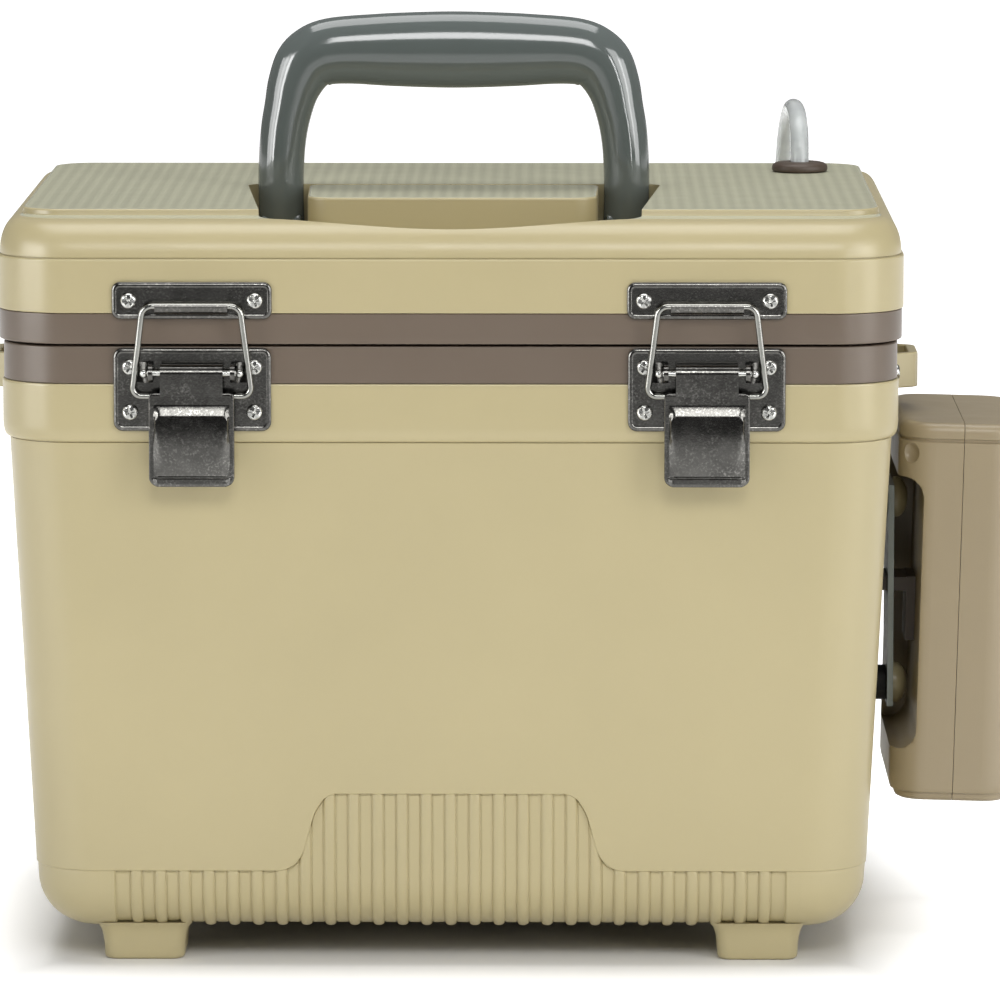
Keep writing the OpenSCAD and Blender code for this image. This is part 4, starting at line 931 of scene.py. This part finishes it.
# ---- Hinges ----------------------------------------------------------------------------------
LEAF_NEAR, LEAF_FAR = 109.1, 110.3  # y of the leaf's two faces
for side, cx in (("left", -HINGE_X), ("right", HINGE_X)):
    for part, up in (("tub", -1), ("lid", 1)):
        z0, z1 = (183, 206.1) if up < 0 else (212.9, 236)
        leaf = rect(20, (z1 - z0) / 2, 2, cx, (z0 + z1) / 2)
        parts = [prism(leaf, LEAF_NEAR, LEAF_FAR, "y")]
        spans = [(-20, -8.3), (8.3, 20)] if up > 0 else [(-8, 8)]
        for a, b in spans:
            parts.append(solid(turned([(1.55, cx + a), (2.8, cx + a), (3, cx + a + 0.2),
                                       (3, cx + b - 0.2), (2.8, cx + b), (1.55, cx + b)],
                                      (0, 112, HINGE_Z), "x", 32)))
            web = [(LEAF_NEAR, HINGE_Z), (LEAF_NEAR, HINGE_Z + up * 3.6),
                   (LEAF_FAR, HINGE_Z + up * 3.6), (LEAF_FAR, HINGE_Z + up * 2.4)]
            parts.append(prism(web, cx + a, cx + b, "x"))
        build(f"hinge_plate_{part}_{side}", parts, f"hinge_leaf_{part}_{side}",
              material=nickel, sharp=35, bevel=0.2)
for part, z in (("tub", 190.5), ("lid", 228.5)):
    build("hinge_screw_heads_" + part,
          [screw_head(s * HINGE_X + dx, LEAF_FAR, z, out=1, turn=30 * i)
           for i, (s, dx) in enumerate([(-1, -12), (-1, 12), (1, -12), (1, 12)])],
          "hinge_screws_" + part, material=screw_steel, sharp=35)

# ---- Strap lugs ------------------------------------------------------------------------------
for side, s in (("left", -1), ("right", 1)):
    pad = [(148.6, -22.5), (150.6, -22.5), (150.6, 22.5), (148.6, 22.5)]
    loop = [(148.7, -17), (157, -12.5), (158.5, -10), (158.5, 10), (157, 12.5), (148.7, 17),
            (148.7, 14), (150.6, 14), (155.1, 11), (155.1, -11), (150.6, -14), (148.7, -14)]
    build("strap_loop_" + side,
          [prism([(s * x, y) for x, y in p], 184.8, 196.8) for p in (pad, loop)],
          "strap_lug_" + side, material=tan, sharp=35, bevel=0.6)
build("rivet_heads", [screw_head(s * 150.6, dy, 190.8, axis="x", out=s, h=1.4, cross=False)
                      for s in (-1, 1) for dy in (-19.4, 19.4)],
      "lug_rivets", material=screw_steel, sharp=35)

# ---- Aerator ---------------------------------------------------------------------------------
# Drawn about the pump's middle, then leant like the box's side
LEAN = Matrix.Translation((171.3, 0, 111.25)) @ Matrix.Rotation(math.radians(1.5), 4, "Y")
CASE_HALF_X, CASE_HALF_Y, CASE_HALF_Z = 21.7, 45, 64.75
DEEP = -CASE_HALF_X + 8.7  # face of the channel at the back of the inner half
CHANNEL_LOW, CHANNEL_HIGH, CHANNEL_R = -47.3, 45.8, 7


def channel_at(z):
    """How far the channel is cut in at a height, with round ends."""
    if z > CHANNEL_HIGH or z < CHANNEL_LOW:
        return None
    d = max(0, z - 38.8, -40.3 - z)
    return DEEP - CHANNEL_R + math.sqrt(max(0, CHANNEL_R ** 2 - d * d))


def case_row(inset, z, inner, cut=None, steps=14):
    """Half of the case's outline at one level, closed along the seam."""
    hx, hy, r = CASE_HALF_X - inset, CASE_HALF_Y - inset, 12 - inset
    side = -1 if inner else 1
    seam = -0.1 if inner else 0.1
    pts = [(seam, -hy), (side * 2, -hy), (side * (hx - r) * 0.97, -hy)]
    for k in range(steps + 1):
        a = 90 * k / steps
        pts.append((side * (hx - r + r * sin(a)), -(hy - r + r * cos(a))))
    pts += [(side * hx, y) for y in (-0.97 * (hy - r), -11, 11, 29, 30, 0.97 * (hy - r))]
    for k in range(steps + 1):
        a = 90 - 90 * k / steps
        pts.append((side * (hx - r + r * sin(a)), hy - r + r * cos(a)))
    pts += [(side * (hx - r) * 0.97, hy), (side * 2, hy), (seam, hy)]
    if cut is not None:
        pts = [(max(x, cut) if y < 29.5 else x, y) for x, y in pts]
    return [(x, y, z) for x, y in pts]


def case_half(inner):
    """One half of the case from its foot up, with the groove under its cap."""
    low, high = -CASE_HALF_Z, CASE_HALF_Z
    rows = [case_row(i, z, inner) for i, z in
            [(5.5, low), (4, low + 0.15), (2.9, low + 0.7), (2.3, low + 1.6), (2.2, low + 2.9),
             (1.5, low + 3), (1.05, low + 3.2), (0.8, low + 3.8), (0.4, low + 6)]]
    if inner:
        rows.append(case_row(0.3, CHANNEL_LOW, inner))
        for k in range(9):
            z = -40.3 - CHANNEL_R * cos(90 * k / 8)
            rows.append(case_row(0.28, z, inner, channel_at(z)))
        for k in range(9):
            z = 38.8 + CHANNEL_R * sin(90 * k / 8)
            rows.append(case_row(0.1, z, inner, channel_at(min(z, CHANNEL_HIGH))))
        rows.append(case_row(0.1, CHANNEL_HIGH, inner))
    rows += [case_row(i, z, inner) for i, z in
             [(0, high - 7), (0.08, high - 6.6), (0.35, high - 6.35), (0.9, high - 6.25),
              (0.9, high - 5.5), (0.4, high - 5.4), (0.15, high - 5.15), (0.1, high - 4.8),
              (0.15, high - 3), (0.4, high - 1.9), (0.9, high - 1.05), (1.6, high - 0.5),
              (2.6, high - 0.12), (4, high)]]
    return [solid(rows)]


inner_case = build("pump_half_inner", case_half(True), "pump_case_inner",
                   material=pump_tan, sharp=35, place=LEAN)
outer_case = build("pump_half_outer", case_half(False), "pump_case_outer",
                   material=pump_tan, sharp=35, place=LEAN)


def leaned(parts):
    return [([LEAN @ Vector(v) for v in verts], faces) for verts, faces in parts]


cut_away(inner_case, leaned([ball((-18.9, -43.2, 54.2), 3.9)]))
cut_away(outer_case, leaned(
    [bar("x", 17, 25, (0, 0, 30), 9.4, edge=0.1, sides=48)]
    + [bar("x", 20.1, 25, (0, s * 36, z), 3, edge=0.1) for s in (-1, 1) for z in (-54, 50)]))

dome = [(0.3, 5.2)] + [(7 * cos(a), 1.2 + 4 * sin(a)) for a in range(80, -1, -10)] + [
    (6.9, 0.1), (6.6, 0)]
build("bracket_domes",
      [solid(turned([(r, 150.7 + h) for r, h in dome], (0, 0, z), "x", 40)) for z in (145.5, 81)],
      "bracket_caps", material=tan, sharp=40)

# ---- CAD pieces that keep their shape --------------------------------------------------------
FINISH = {
    foam: ["tub_insulation", "lid_insulation"],
    rubber: ["lid_gasket", "bracket_spacers", "pump_nozzle", "pump_button", "port_cover",
             "pump_diaphragm"],
    clip_dark: ["pump_clip"],
    strip: ["aerator_bracket"],
    screw_steel: ["hinge_pin_left", "hinge_pin_right", "handle_pins", "bracket_screws",
                  "pump_screws", "pump_motor"],
    wrap: ["pump_battery"],
    board: ["pump_board"],
    stone: ["air_stone"],
}
for material, names in FINISH.items():
    for name in names:
        mesh = bpy.data.objects[name].data
        mesh.materials.clear()
        mesh.materials.append(material)

# ---- Room ------------------------------------------------------------------------------------
FLOOR = 6000
floor = build("floor", [([(-FLOOR, -FLOOR, 0), (FLOOR, -FLOOR, 0), (FLOOR, FLOOR, 0),
                          (-FLOOR, FLOOR, 0)], [(0, 1, 2, 3)])])
floor.modifiers.clear()
paper = Nodes(bpy.data.materials.new("studio paper"))
reach = paper.add("ShaderNodeVectorMath", {0: paper.place, 1: (0.8, 1, 1)}, operation="MULTIPLY")
far = paper.add("ShaderNodeVectorMath", {0: reach.outputs[0]}, operation="LENGTH").outputs["Value"]
out_x = paper.math("SUBTRACT", paper.math("ABSOLUTE", paper.axis("X")), 0.13)
out_y = paper.math("SUBTRACT", paper.math("ABSOLUTE", paper.axis("Y")), 0.088)
off_box = paper.math("MAXIMUM", paper.math("MULTIPLY", out_x, 1.6), out_y)
glow = paper.math("ADD", paper.span(off_box, 0.005, 0.06, 0, 0.68),
                  paper.span(far, 0.2, 1.5, 0, 0.3))
# The paper looks white all round, but by the box and in front of it it throws less light back
seen = paper.add("ShaderNodeLightPath").outputs["Is Camera Ray"]
back = paper.math("MULTIPLY", paper.span(paper.axis("Y"), -0.75, -0.3, 0, 1),
                  paper.span(far, 0.12, 0.5, 0.1, 1))
glow = paper.math("MULTIPLY", glow, paper.math("MAXIMUM", seen, back))
white = paper.math("MAXIMUM", seen, paper.span(paper.axis("Y"), -2.2, -1.2, 0, 1))
shade = paper.ramp(white, [(0, (0.12, 0.12, 0.12, 1)), (1, (0.94, 0.94, 0.94, 1))])
# A contact shadow under the box
under = paper.span(off_box, -0.04, 0.014, 0.35, 0)
shade = paper.mix(under, shade, (0.1, 0.1, 0.1, 1))
floor.data.materials.append(paper.set(
    Base_Color=paper.mix(paper.span(paper.noise(3), 0.3, 0.7, 0, 0.03), shade, (0.9, 0.9, 0.9, 1)),
    Roughness=0.8, Specular_IOR_Level=0.1, Emission_Color=(1, 1, 1, 1), Emission_Strength=glow))

world = bpy.data.worlds.new("studio")
bpy.context.scene.world = world
sky = Nodes(world, "Background", "Generated")
# The room is darker on the side that the object faces, which the metal mirrors
room = sky.span(sky.axis("Y"), -0.97, -0.6, 0.07, 0.24)
seen = sky.add("ShaderNodeLightPath").outputs["Is Camera Ray"]
sky.set(Strength=sky.add("ShaderNodeMix", {0: seen, 2: room, 3: 1.05}).outputs[0],
        Color=(1, 1, 1, 1))


def area_light(name, place, aim_z, width, height, power, card=False):
    """Soft light aimed at the box; a card only shows in what is glossy, as a white card does."""
    light = bpy.data.lights.new(name, "AREA")
    light.shape, light.size, light.size_y = "RECTANGLE", width, height
    light.energy = power
    obj = bpy.data.objects.new(name, light)
    obj.location = place
    obj.rotation_euler = (Vector((0, 0, aim_z)) - Vector(place)).to_track_quat("-Z", "Y").to_euler()
    bpy.context.scene.collection.objects.link(obj)
    obj.visible_diffuse = not card


for row in (("key light", (1.7, -1.6, 0.95), 0.15, 0.9, 1.5, 19),
            ("front light", (0.2, -2.5, 1.7), 0.15, 1.2, 0.7, 23),
            ("left light", (-1.7, -1.3, 0.7), 0.15, 0.9, 1.3, 9),
            ("top light", (0, 0.1, 1.9), 0.2, 1.6, 1.2, 22),
            ("corner card", (-1.5, -1.45, 0.55), 0.15, 0.32, 1.3, 12, True),
            ("left card", (-1.75, -0.75, 0.5), 0.25, 0.9, 1.2, 17, True),
            ("right card", (1.75, -0.9, 0.5), 0.25, 0.8, 1.2, 15, True),
            ("edge card", (1.15, -2.0, 0.5), 0.25, 0.1, 1.2, 6, True)):
    area_light(*row)
